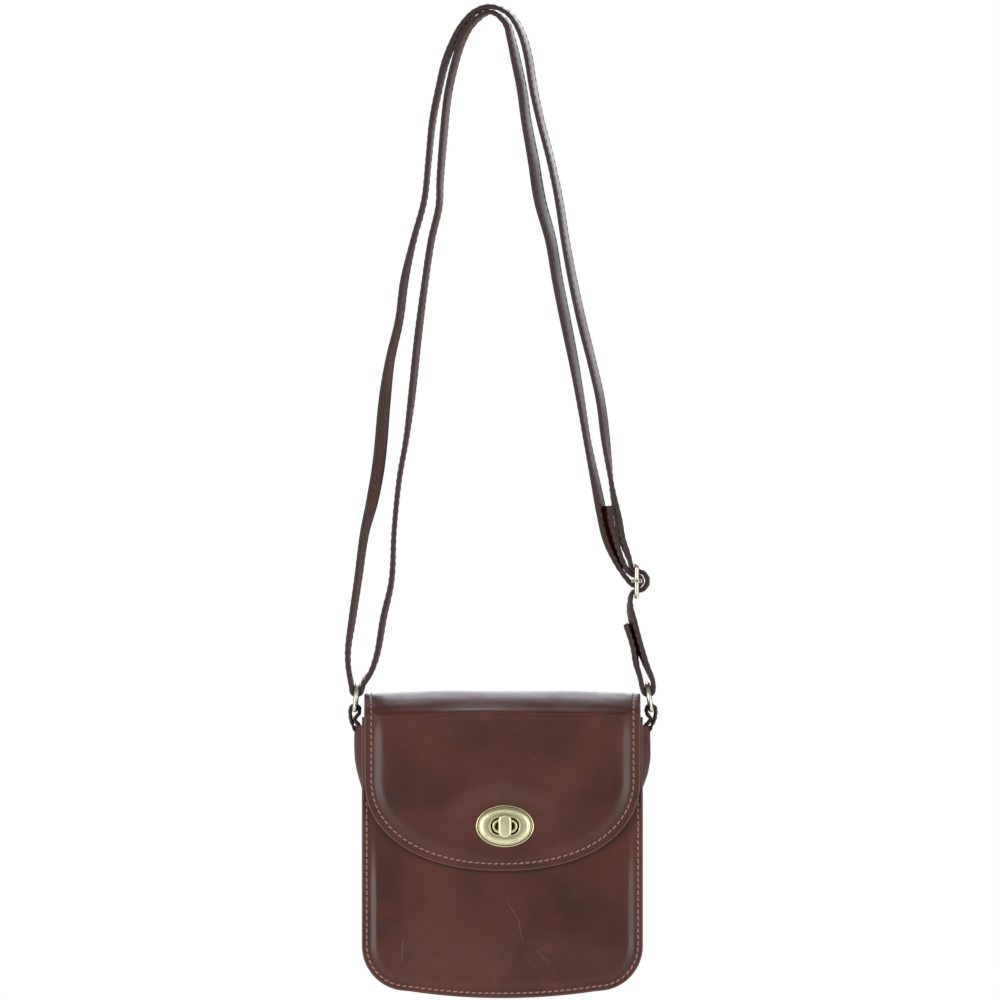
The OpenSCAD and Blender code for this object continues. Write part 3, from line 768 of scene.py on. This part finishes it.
def lay_sheet(shape, rows, lay, relief, thickness, ring, hole=None):
    """A sheet with a face, a back and the cut edge between them. The back follows puffs, not grooves."""
    face = [[lay(x, v, relief(x, v, d)) for x, v, d in row] for row in rows]
    flat = relief(*rows[-1][0]) < -1
    back = []
    for row in rows:
        lifts = [relief(x, v, d) for x, v, d in row]
        if not flat:
            lifts = [max(w, -0.3) * smoothstep(0.5, 7, d) + 0.25 * near_cut_edge(d)
                     for w, (_, _, d) in zip(lifts, row)]
        back.append([lay(x, v, w - thickness) for (x, v, _), w in zip(row, lifts)])
    # The mask is 1 at the cut edge, where the body leather gets its painted edge highlight; the back takes
    # at least 0.4 of it.
    wear_and_painted_light = [[near_cut_edge(d) for _, _, d in row] for row in rows]
    start = len(shape.faces)
    shape.grid(face, wear_and_painted_light=wear_and_painted_light, ring=ring)
    shape.grid(back, wear_and_painted_light=[[max(w, 0.4) for w in row] for row in wear_and_painted_light], ring=ring)
    shape.grid([face[0], back[0]], wear_and_painted_light=[1, 1], ring=ring)
    if hole:
        kept = [(f, s) for f, s in zip(shape.faces[start:], shape.slots[start:])
                if not hole(sum((shape.points[i] for i in f), Vector()) / len(f))]
        shape.faces[start:] = [f for f, _ in kept]
        shape.slots[start:] = [s for _, s in kept]


def sew_loop(shape, points, lay, relief, inset):
    """Stitches along a loop's inset line."""
    path = [lay(x, v, relief(x, v, inset(v))) for x, v in points]
    ups = [(lay(x, v, 1) - lay(x, v, 0)).normalized() for x, v in points]
    shape.sewn(path, ups)


# ---------------------------------------------------------------- bag body

def in_lock_hole(p):
    half_w, half_h = SLOT_W / 2 + 1.6, SLOT_H / 2 + 1.6
    return p.y < -15 and math.hypot((p.x - LOCK_X) / half_w, (p.z - LOCK_Z) / half_h) < 1


def front_panel():
    shape = Shape()
    rows = drawn_in(panel_loop, RIM, clamp_spine(-478, -455), 42)
    lay_sheet(shape, rows, on_front, front_relief, PANEL_T, ring=True)
    side = [(x, z) for x, z in panel_loop(STITCH_IN) if z < FRONT_TOP_Z - 4]
    sew_loop(shape, side, on_front, front_relief, lambda v: STITCH_IN)
    for crease in CREASES:
        path = [p for p, _ in smooth_route([(x, 0, z) for x, z in crease], 0.8)]
        laid = [on_front(p.x, p.z, front_relief(p.x, p.z, edge_distance(p.x, p.z)) - 0.18) for p in path]
        thin = [0.05 + 0.28 * math.sin(math.pi * i / (len(path) - 1)) for i in range(len(path))]
        # Each crease is a thin raised ridge in the lighter leather of slot 3, a painted highlight.
        shape.tube(laid, thin, 8, 3)
    place(shape.make("front_leather", LEATHER_SET), ["front_panel"], body="bag")


def back_and_roof():
    """The back, and the back half of the top that the flap hangs from."""
    shape = Shape()
    rows = drawn_in(back_loop, RIM, clamp_spine(fold.back_v(-470), 0), 42)
    lay_sheet(shape, rows, on_fold, fold_relief, FLAP_T, ring=False)
    outer, inner = back_loop(STITCH_IN), back_loop(FLAP_STITCH_IN)
    line = [(mix(a[0], b[0], flap_share(a[1])), a[1]) for a, b in zip(outer, inner)]
    sew_loop(shape, line, on_fold, fold_relief, fold_stitch_in)
    piece = shape.make("back_leather", LEATHER_SET)
    place(piece, ["back_panel"],
          between=("bag", "flap_top", (0, 20, -389.5), (0, 12, -376.5)))


def flap():
    """The front half of the top and the hanging flap."""
    shape = Shape()
    rows = drawn_in(flap_loop, RIM, clamp_spine(0, FLAP_CURVE_V), 42)
    lay_sheet(shape, rows, on_fold, fold_relief, FLAP_T, ring=False, hole=in_lock_hole)
    sew_loop(shape, flap_loop(FLAP_STITCH_IN), on_fold, fold_relief, lambda v: FLAP_STITCH_IN)
    piece = shape.make("flap_leather", LEATHER_SET)
    place(piece, ["flap_roof", "flap_front"],
          between=("flap_top", "flap_leaf", (0, -17, -379), (0, -24, -393)))


def flap_lining():
    """Cloth inside the flap, from near the back fold to just inside the flap's edge."""
    top_v = fold.back_v(-384) + 9
    half = FLAP_HALF_W - FLAP_LINING_IN

    def loop(inset):
        left = [(BAG_X - half + inset, v) for v in spread(top_v + inset, FLAP_CURVE_V, 56)]
        drop = FLAP_CURVE_H - FLAP_LINING_IN - inset
        left += flap_curve(half - inset, drop, 40)
        across = [(x, top_v + inset) for x in spread(BAG_X + half - inset, BAG_X - half + inset, 40)[1:-1]]
        return left + [(BAG_X, FLAP_CURVE_V + drop)] + mirrored(left) + across

    def relief(x, v, d):
        lift = fold_relief(x, v, d + FLAP_LINING_IN)
        return max(lift, -0.3) * smoothstep(0.5, 7, d + FLAP_LINING_IN) - FLAP_T - 0.05

    shape = Shape()
    rows = drawn_in(loop, [0, 0.5, 2, 5], clamp_spine(top_v + 20, FLAP_CURVE_V), 26)
    lay_sheet(shape, rows, on_fold, relief, 0.6, ring=True, hole=in_lock_hole)
    piece = shape.make("flap_lining", [lining_cloth])
    place(piece, ["flap_roof_lining", "flap_front_lining"],
          between=("flap_top", "flap_leaf", (0, -17, -379), (0, -24, -393)))
    flat_area(loop(0)) * MM * MM


def gusset_line(inset, bulge, top_z, count=60):
    """Points and outward ways along the gusset, which bulges outwards near its top."""
    side = []
    for z in spread(top_z, BOTTOM_Z + BOTTOM_BOW + CORNER_R, count)[:-1]:
        out = bulge * smoothstep(-447, -409, z)
        side.append((BAG_X - HALF_W + inset - out, z))
    side += panel_side(inset)
    line = side + mirrored(side[:-1])
    ways = []
    for i in range(len(line)):
        a, b = line[max(i - 1, 0)], line[min(i + 1, len(line) - 1)]
        way = Vector((b[0] - a[0], 0, b[1] - a[1])).normalized()
        ways.append(Vector((way.z, 0, -way.x)))
    return [Vector((x, 0, z)) for x, z in line], ways


def gusset():
    """The strip between front and back: a sewn flange at each side and a wall that swells near the top."""
    section = [(-17.7, 0.25), (-17.5, 2.4), (-17.1, 4.3), (-15.9, 5.2), (-14.2, 5.2), (-11, 5.1),
               (-6, 4.9), (0, 4.7)]
    swell = [0, 0, 0, 0.12, 0.42, 0.78, 0.97, 1]
    section += [(-y, d) for y, d in reversed(section[:-1])]
    swell += list(reversed(swell[:-1]))
    rows, wear_and_painted_light = [], []
    for (y, inset), share in zip(section, swell):
        line, ways = gusset_line(inset, FLARE * share, gusset_high.z)
        row = []
        for i, (p, way) in enumerate(zip(line, ways)):
            soft = 0.5 * share * ripple(p.z + 40 * (p.x > BAG_X), y, 15, 2.2)
            soft += 0.8 * share * bell(p.z + 436, 7) * bell(abs(y) - 9, 6)
            row.append(Vector((p.x, y, p.z)) + way * soft)
        rows.append(row)
        # The flanges' cut edges take the whole pale edge colour, a painted highlight, and the rest of the
        # gusset a little of it.
        wear_and_painted_light.append(1 if inset < 1 else 0.15)
    shape = Shape()
    shape.grid(rows, wear_and_painted_light=wear_and_painted_light)
    piece = shape.make("gusset_leather", [gusset_leather], thickness=1.3)
    place(piece, ["gusset"], body="bag")


def lining():
    """Cloth inside the bag: one sheet on each panel and one round the gusset."""
    for name, y, top, side in (("lining_front", FRONT_Y + PANEL_T + 1, FRONT_TOP_Z - 6, -1),
                               ("lining_back", BACK_Y - PANEL_T - 1, FRONT_TOP_Z - 2, 1)):
        def lay(x, z, w, y=y, side=side):
            return Vector((x, y - side * (w + 0.4 + 0.35 * ripple(x, z, 26, side)), z))

        def loop(inset, top=top):
            return panel_loop(inset + LINING_IN, top + LINING_IN)

        shape = Shape()
        rows = drawn_in(loop, [0, 0.6, 3], clamp_spine(-478, -455), 22)
        lay_sheet(shape, rows, lay, lambda x, z, d: 0, 0.5, ring=True)
        piece = place(shape.make(name + "_cloth", [lining_cloth]), [name], body="bag")
        flat_area(loop(0)) * MM * MM
    rows = []
    for y in spread(-15.6, 15.6, 10):
        line, ways = gusset_line(WALL_IN + 2.4, FLARE * smoothstep(16.5, 8, abs(y)), gusset_high.z - 1)
        rows.append([Vector((p.x, y, p.z)) for p in line])
    shape = Shape()
    shape.grid(rows)
    piece = shape.make("lining_gusset_cloth", [lining_cloth], thickness=0.5)
    place(piece, ["lining_gusset"], body="bag")
    length = sum((b - a).length for a, b in zip(rows[5], rows[5][1:]))


# ---------------------------------------------------------------- strips of leather

def strip_frames(route, step=2.2):
    """Frames along a route: centre, along, across and outward."""
    curve = smooth_route(route, step)
    frames = []
    for i, (p, turn) in enumerate(curve):
        along = (curve[min(i + 1, len(curve) - 1)][0] - curve[max(i - 1, 0)][0]).normalized()
        across = (Vector((0, 1, 0)) - along.y * along).normalized()
        out = along.cross(across)
        c, s = math.cos(math.radians(turn)), math.sin(math.radians(turn))
        frames.append((p, along, across * c + out * s, out * c - across * s))
    return frames


def strip_section(width, thickness):
    """Half-width and height pairs round a strip: flat faces, a pressed line near each edge, round edges."""
    a, b = width / 2, thickness / 2
    top = [(a - 0.45, b - 0.12), (a - 1.1, b), (a - 1.9, b - 0.16), (a - 2.7, b), (a / 2, b + 0.08),
           (0, b + 0.1)]
    top += [(-x, y) for x, y in reversed(top[:-1])]
    edge = [(-a + 0.12, b - 0.5), (-a, 0), (-a + 0.12, 0.5 - b)]
    return top + edge + [(-x, -y) for x, y in top] + [(-x, -y) for x, y in edge]


def strip(shape, frames, width=STRAP_W, thickness=STRAP_T, arch=None, sewn=True, pitch=4.2, thin=0):
    """A flat strip along frames. arch(i, across) gives a push for points off the middle line.

    Its first thin frames are pared down to almost nothing.
    """
    section = strip_section(width, thickness)
    shift = arch or (lambda i, a: Vector())
    pared = [mix(0.25, 1, smoothstep(0, thin, i)) if thin else 1 for i in range(len(frames))]
    rows = [[p + across * a + out * b * pared[i] + shift(i, a) for a, b in section]
            for i, (p, along, across, out) in enumerate(frames)]
    edge = [1 if abs(a) > width / 2 - 0.3 else 0.45 if abs(a) > width / 2 - 0.6 else 0 for a, _ in section]
    shape.grid(rows, ring=True, caps=True, wear_and_painted_light=[edge] * len(rows))
    if not sewn:
        return
    for a in (width / 2 - 1.9, 1.9 - width / 2):
        for b in (1, -1):
            path = [p + across * a + out * b * (thickness / 2 - 0.2) * pared[i] + shift(i, a)
                    for i, (p, along, across, out) in enumerate(frames)]
            shape.sewn(path, [out * b for _, _, _, out in frames], pitch, 0.32)


def loop_route(i, start_side):
    """The strap's bend under a ring's bow, from one side to the other."""
    lean = math.radians(RING_LEAN[i])
    across, up = Vector((math.cos(lean), 0, -math.sin(lean))), Vector((math.sin(lean), 0, math.cos(lean)))
    top = Vector((RING_X[i], 0, RING_Z)) + up * BOW_R
    angles = [math.radians(a) for a in spread(0, 180, 8)][1:-1]
    points = [top + LOOP_R * (across * math.cos(a) * start_side - up * math.sin(a)) for a in angles]
    return [(p.x, 0, p.z, 0) for p in points], -up


def saddle(frames, centre, down):
    """Near a ring the strap is pulled into a trough round the bow, and flattens further on."""
    def push(i, a):
        p = frames[i][0]
        near = 1 - smoothstep(3.5, 17, (p - centre).length)
        drop = BOW_R - math.sqrt(max(BOW_R ** 2 - a * a, 0))
        return down * drop * near
    return push


def strap():
    top = next(i for i, p in enumerate(OUTER_ROUTE) if p[:3] == (0.4, 0, 4.4))
    bulge = next(i for i, p in enumerate(OUTER_ROUTE) if p[:3] == (87.1, 0, -313))
    crown = next(i for i, p in enumerate(INNER_ROUTE) if p[:3] == (0, 0, 1.4))

    def run(route, first, last):
        """Frames of part of a route, cut from the whole so that neighbouring pieces meet exactly."""
        frames = strip_frames(route)
        a = min(range(len(frames)), key=lambda i: (frames[i][0] - Vector(route[first][:3])).length)
        b = min(range(len(frames)), key=lambda i: (frames[i][0] - Vector(route[last][:3])).length)
        return frames[a:b + 1]

    bend, down = loop_route(0, -1)
    left_route = OUTER_ROUTE + bend + INNER_ROUTE
    shape = Shape()
    frames = run(left_route, top, len(OUTER_ROUTE) + len(bend) + crown)
    centre = Vector((RING_X[0], 0, RING_Z)) - down * BOW_R
    strip(shape, frames, arch=saddle(frames, centre, down))
    place(shape.make("strap_left", STRAP_SET), ["strap_loop_left"], body="strap")

    bend, down = loop_route(1, -1)
    right_route = list(reversed(TAIL_ROUTE)) + bend + OUTER_ROUTE
    shape = Shape()
    frames = run(right_route, 0, len(TAIL_ROUTE) + len(bend) + bulge)
    centre = Vector((RING_X[1], 0, RING_Z)) - down * BOW_R
    strip(shape, frames, arch=saddle(frames, centre, down))
    piece = shape.make("strap_lower", STRAP_SET)
    place(piece, ["strap_tail", "strap_loop_right"],
          between=("strap", "slider", (87, 0, -364), (77.5, 0, -327)))

    shape = Shape()
    strip(shape, run(right_route, len(TAIL_ROUTE) + len(bend) + bulge, len(TAIL_ROUTE) + len(bend) + top))
    piece = shape.make("strap_outer", STRAP_SET)
    place(piece, ["strap_outer_face", "strap_outer_backing"],
          between=("strap", "slider", (61, 0, -213), (75.9, 0, -298)))

    shape = Shape()
    frames = run(left_route, len(OUTER_ROUTE) + len(bend) + crown, len(left_route) - 1)
    strip(shape, frames)
    piece = shape.make("strap_inner", STRAP_SET)
    place(piece, ["strap_inner_face", "strap_inner_backing"],
          between=("strap", "slider", (50, 0, -213), (61.6, 0, -266)))


def tab(i):
    """A leather loop that holds a ring's bar, sewn through the gusset's top."""
    side = -1 if i == 0 else 1
    lean = math.radians(RING_LEAN[i])
    bar = Vector((RING_X[i] - BAR_DROP * math.sin(lean), 0, RING_Z - BAR_DROP * math.cos(lean)))
    r = WIRE_R + 0.25 + TAB_T / 2
    wall_x = BAG_X + side * (HALF_W + 4.1)
    outer_x = mix(wall_x, bar.x + side * r, 0.55)
    inside = wall_x - side * 3.4
    route = [(wall_x + side * 0.4, 0, -396, 0), (wall_x + side * 0.8, 0, -393.5, 0),
             (outer_x + side * 0.7, 0, -389.8, 0), (bar.x + side * (r + 0.1), 0, bar.z - 1.4, 0)]
    route += [(bar.x + side * r * math.cos(a), 0, bar.z + r * math.sin(a), 0)
              for a in [math.radians(v) for v in spread(20, 165, 6)]]
    route += [(bar.x - side * r * 0.85, 0, bar.z - 2.2, 0), (outer_x - side * 1.25, 0, -389.5, 0),
              (inside + side * 0.9, 0, -393, 0), (inside, 0, -397, 0), (inside, 0, -406, 0)]
    shape = Shape()
    frames = strip_frames(route, 1.2)
    strip(shape, frames, TAB_W, TAB_T, pitch=3.2, thin=6)
    name = "tab_left" if i == 0 else "tab_right"
    place(shape.make(name + "_leather", STRAP_SET), [name], body="bag")


# ---------------------------------------------------------------- metal parts

def ring(i):
    """A D-ring: a round bow, two short legs and a straight bar."""
    lean = math.radians(RING_LEAN[i])
    up = Vector((math.sin(lean), 0, math.cos(lean)))
    flat = BOW_R - RING_BEND_R
    outline = arc(0, 0, BOW_R, 0, 180, 36)
    outline += [(-BOW_R, -z) for z in spread(0, BAR_DROP - RING_BEND_R, 3)[1:-1]]
    outline += arc(-flat, RING_BEND_R - BAR_DROP, RING_BEND_R, 180, 270, 8)
    outline += [(y, -BAR_DROP) for y in spread(-flat, flat, 8)[1:-1]]
    outline += arc(flat, RING_BEND_R - BAR_DROP, RING_BEND_R, 270, 360, 8)
    outline += [(BOW_R, -z) for z in spread(BAR_DROP - RING_BEND_R, 0, 3)[1:-1]]
    centre = Vector((RING_X[i], 0, RING_Z))
    shape = Shape()
    shape.tube([centre + Vector((0, y, 0)) + up * z for y, z in outline], WIRE_R, 20, closed=True)
    name = "ring_left" if i == 0 else "ring_right"
    place(shape.make(name + "_wire", [nickel], sharp=60), [name], body="bag")


def slider():
    """The buckle's wire frame, its centre bar and the crimped ferrules that hold the bar."""
    wire, bend = 1.3, 3
    half_y = (slider_high.y - slider_low.y) / 2 - wire
    half_z = (slider_high.z - slider_low.z) / 2 - wire
    outline = []
    for sy, sz, start in ((1, 1, 0), (-1, 1, 90), (-1, -1, 180), (1, -1, 270)):
        outline += arc(sy * (half_y - bend), sz * (half_z - bend), bend, start, start + 90, 8)
    path = []
    for (y, z), (y2, z2) in zip(outline, outline[1:] + outline[:1]):
        count = max(1, round(math.hypot(y2 - y, z2 - z) / 2.5))
        path += [SLIDER + Vector((0, mix(y, y2, k / count), mix(z, z2, k / count))) for k in range(count)]
    shape = Shape()
    shape.tube(path, wire, 18, closed=True)
    place(shape.make("slider_wire", [nickel], sharp=60), ["slider_frame"], body="slider")

    shape = Shape()
    shape.tube([SLIDER + Vector((0, y, 0)) for y in spread(-half_y, half_y, 8)], 1.05, 16)
    for side in (-1, 1):
        rows, wear_and_painted_light = [], []
        for x, grow in ((-3.15, 0.75), (-3.0, 0.95), (-2.4, 1), (-0.8, 1),
                        (0.8, 1), (2.4, 1), (3.0, 0.95), (3.15, 0.75)):
            row = []
            for k in range(24):
                a = 2 * math.pi * k / 24
                y = math.copysign(abs(math.cos(a)) ** 0.45, math.cos(a)) * 1.9 * grow
                z = math.copysign(abs(math.sin(a)) ** 0.45, math.sin(a)) * 1.05 * grow
                row.append(SLIDER + Vector((x, side * half_y + y, z)))
            rows.append(row)
            wear_and_painted_light.append(0.5 if abs(x) > 2.9 else 0)
        shape.grid(rows, ring=True, caps=True, wear_and_painted_light=wear_and_painted_light)
        for x in (-1.9, 0, 1.9):
            base = SLIDER + Vector((x, side * (half_y + 1.88), 0))
            out = Vector((0, side, 0))
            shape.tube([base, base + out * 0.12, base + out * 0.2], [0.5, 0.44, 0.2], 10, wear_and_painted_light=[1, 1, 0.8])
    place(shape.make("slider_ferrules", [nickel]), ["slider_bar"], body="slider")


def oval(w, h, y, count=96):
    turns = [2 * math.pi * k / count for k in range(count)]
    return [Vector((LOCK_X + w / 2 * math.cos(t), y, LOCK_Z + h / 2 * math.sin(t))) for t in turns]


def stadium(w, h, y, count=96):
    """A slot's outline, with its points at the same angles as an oval's."""
    out = []
    half = (w - h) / 2
    for k in range(count):
        t = 2 * math.pi * k / count
        c, s = math.cos(t), math.sin(t)
        reach = h / 2 / max(abs(s), 1e-6)
        if abs(c) * reach > half:
            b = half * abs(c)
            reach = b + math.sqrt(max(b * b - half * half + h * h / 4, 0))
        out.append(Vector((LOCK_X + reach * c, y, LOCK_Z + reach * s)))
    return out


def lock_plate():
    """The oval plate: a beaded rim, a dark groove, a full round dome and a low collar at the slot."""
    y0 = FLAP_Y + 0.1
    slot_edge = stadium(SLOT_W, SLOT_H, 0)
    rim_edge = oval(PLATE_W, PLATE_H, 0)

    def row(f, height):
        """Outline at a share f of the way from rim to slot, raised by height."""
        return [Vector((mix(a.x, b.x, f), y0 - height, mix(a.z, b.z, f)))
                for a, b in zip(rim_edge, slot_edge)]

    # Each row: share from rim to slot, height and darkening. The darkening over the dome's flat, from 0.57
    # to 0.9, is painted shade; the rest is patina at the rim's foot, in the groove and down the slot.
    profile = [
        (0.03, 0, 1), (0, 0.3, 1), (0.005, 0.7, 0.2), (0.035, 1.1, 0), (0.075, 1.25, 0),
        (0.102, 1.1, 0),
        (0.115, 0.7, 1), (0.145, 0.65, 1), (0.158, 0.95, 0.6), (0.172, 1.25, 0), (0.25, 1.9, 0),
        (0.34, 2.45, 0),
        (0.45, 2.8, 0.05), (0.57, 2.95, 0.2), (0.7, 2.98, 0.35), (0.82, 2.95, 0.45), (0.9, 2.98, 0.2),
        (0.95, 3.05, 0), (0.985, 2.95, 0), (1.0, 2.6, 0.6), (1.0, 1.2, 1), (1.0, 0, 1)
    ]
    shape = Shape()
    shape.grid([row(f, h) for f, h, _ in profile], ring=True, wear_and_painted_light=[w for _, _, w in profile])
    place(shape.make("lock_plate_dome", [brass], sharp=70), ["lock_plate"], body="flap_leaf")


def lock_base():
    """The boss that stands in the plate's slot, on its oval flange."""
    w, h = SLOT_W - 1.8, SLOT_H - 1.8
    fw, fh = base_high.x - base_low.x, base_high.z - base_low.z
    shape = Shape()
    flange = [(0.6, -0.1), (0, 0.3), (0.5, 0.75), (1.6, 0.8)]
    wall = [(-0.6, FRONT_Y - 0.85), (0, FRONT_Y - 1.3), (0, BOSS_FRONT_Y + 0.7), (0.3, BOSS_FRONT_Y + 0.2),
            (1.0, BOSS_FRONT_Y), (2.6, BOSS_FRONT_Y + 0.05), (3.4, BOSS_FRONT_Y + 0.5)]
    well = [(5, 4, 0.55), (3.4, 3.4, 0.5), (3.2, 3.2, 2)]
    rows = [oval(fw - less, fh - less, FRONT_Y - proud) for less, proud in flange]
    rows += [stadium(w - less, h - less, y) for less, y in wall]
    rows += [oval(across, high, BOSS_FRONT_Y + deep) for across, high, deep in well]
    wear_and_painted_light = [1, 0.6, 0.3, 0.3, 1, 1, 0.6, 0.1, 0, 0.5, 0.9, 0.8, 1, 1]
    shape.grid(rows, ring=True, wear_and_painted_light=wear_and_painted_light)
    place(shape.make("lock_boss", [brass], sharp=60), ["lock_base"], body="bag")


def toggle():
    """The turning knob, upright at rest: nearly straight sides, softly pointed ends, a crowned face."""
    half_w = (toggle_high.x - toggle_low.x) / 2
    half_h = (toggle_high.z - toggle_low.z) / 2
    back, front = BOSS_FRONT_Y - 0.3, toggle_low.y

    def outline(grow_x, grow_z, y):
        points = []
        for k in range(72):
            t = 2 * math.pi * k / 72
            c, s = abs(math.cos(t)) / half_w, abs(math.sin(t)) / half_h
            low = 1.18 if math.sin(t) < 0 else 1.22
            reach = (c ** 7 + s ** 7 + ((0.45 * c + s) / low) ** 7) ** (-1 / 7)
            x, z = reach * math.cos(t) * grow_x, reach * math.sin(t) * grow_z
            points.append(Vector((LOCK_X + x, y, LOCK_Z + z)))
        return points

    depth = front - back
    rows = [(0.5, 0.5, 0, 1), (0.86, 0.9, 0, 1), (0.97, 0.98, 0.08, 0.7), (1, 1, 0.25, 0.2),
            (1, 1, 0.62, 0), (0.97, 0.985, 0.8, 0), (0.88, 0.94, 0.92, 0), (0.7, 0.84, 0.97, 0),
            (0.4, 0.6, 0.99, 0), (0.02, 0.1, 1, 0)]
    shape = Shape()
    shape.grid([outline(gx, gz, back + depth * f) for gx, gz, f, _ in rows], ring=True, caps=True,
               wear_and_painted_light=[w for _, _, _, w in rows])
    stem = [Vector((LOCK_X, y, LOCK_Z)) for y in spread(back - 0.5, FRONT_Y - 0.5, 6)]
    shape.tube(stem, 1.5, 20, wear_and_painted_light=[0.8] * 7)
    collar = [Vector((LOCK_X, y, LOCK_Z)) for y in (FRONT_Y - 0.9, FRONT_Y - 0.2)]
    shape.tube(collar, 2.9, 24, wear_and_painted_light=[0.8] * 2)
    place(shape.make("toggle_knob", [brass], sharp=60), ["lock_toggle"], body="toggle")


def carried_over():
    """The CAD's own small steel parts, inside the lock, with a finish."""
    for name in ("lock_base_washer", "lock_spring", "lock_plate_washer"):
        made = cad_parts[name]
        made.data.materials.clear()
        made.data.materials.append(steel)


# ---------------------------------------------------------------- the purse

front_panel()
back_and_roof()
flap()
flap_lining()
gusset()
lining()
strap()
for index in (0, 1):
    tab(index)
    ring(index)
slider()
lock_plate()
lock_base()
toggle()
carried_over()


# ---------------------------------------------------------------- stage, light and camera

def floor(z, radius):
    shape = Shape()
    turns = [2 * math.pi * k / 96 for k in range(96)]
    rings = [[(r * math.cos(t), r * math.sin(t), z) for t in turns] for r in (1, radius / 2, radius)]
    shape.grid(rings, ring=True)
    p = Paint("floor_paper")
    colour = p.blend(p.noise(3, 2), (0.86, 0.86, 0.86, 1), (0.9, 0.9, 0.9, 1))
    piece = shape.make("floor", [p.finish(colour, 0.9)])


def area_light(name, at, towards, size, power, colour=(1.0, 1.0, 1.0)):
    light = bpy.data.lights.new(name, "AREA")
    light.color = colour
    light.shape = "RECTANGLE"
    light.size, light.size_y = size
    light.energy = power
    made = bpy.data.objects.new(name, light)
    made.location = at
    made.rotation_euler = (Vector(towards) - Vector(at)).to_track_quat("-Z", "Y").to_euler()
    bpy.context.scene.collection.objects.link(made)


def surroundings():
    """White to look at from any side, and an even grey as a source of light."""
    world = bpy.data.worlds.new("studio")
    bpy.context.scene.world = world
    world.use_nodes = True
    tree = world.node_tree
    tree.nodes.clear()
    seen, cast = tree.nodes.new("ShaderNodeBackground"), tree.nodes.new("ShaderNodeBackground")
    seen.inputs["Color"].default_value = (1, 1, 1, 1)
    seen.inputs["Strength"].default_value = 1.0
    cast.inputs["Color"].default_value = (0.95, 0.97, 1, 1)
    cast.inputs["Strength"].default_value = 0.22
    path = tree.nodes.new("ShaderNodeLightPath")
    choose = tree.nodes.new("ShaderNodeMixShader")
    out = tree.nodes.new("ShaderNodeOutputWorld")
    tree.links.new(path.outputs["Is Camera Ray"], choose.inputs[0])
    tree.links.new(cast.outputs[0], choose.inputs[1])
    tree.links.new(seen.outputs[0], choose.inputs[2])
    tree.links.new(choose.outputs[0], out.inputs["Surface"])


BAG = (0.007, 0, -0.46)
floor(-760, 1400)
surroundings()
area_light("sky", (0.0, 1.15, 0.55), (0.0, 0.0, -0.4), (2.4, 1.5), 48, (0.86, 0.92, 1.0))
area_light("left_box", (-1.55, -1.35, -0.15), BAG, (0.8, 1.7), 26)
area_light("right_box", (1.55, -1.35, -0.15), BAG, (0.8, 1.7), 22)
area_light("front_top", (-0.2, -2.4, 1.1), BAG, (1.2, 0.8), 7)

camera = bpy.data.cameras.new("camera")
camera.sensor_width = 36
camera.lens = 36 * 7.99 / 0.552
camera_object = bpy.data.objects.new("camera", camera)
camera_object.location = (0.0055, -8, -0.2683)
camera_object.rotation_euler = (math.radians(90), 0, 0)
bpy.context.scene.collection.objects.link(camera_object)
bpy.context.scene.camera = camera_object
bpy.context.scene.view_settings.view_transform = "Standard"
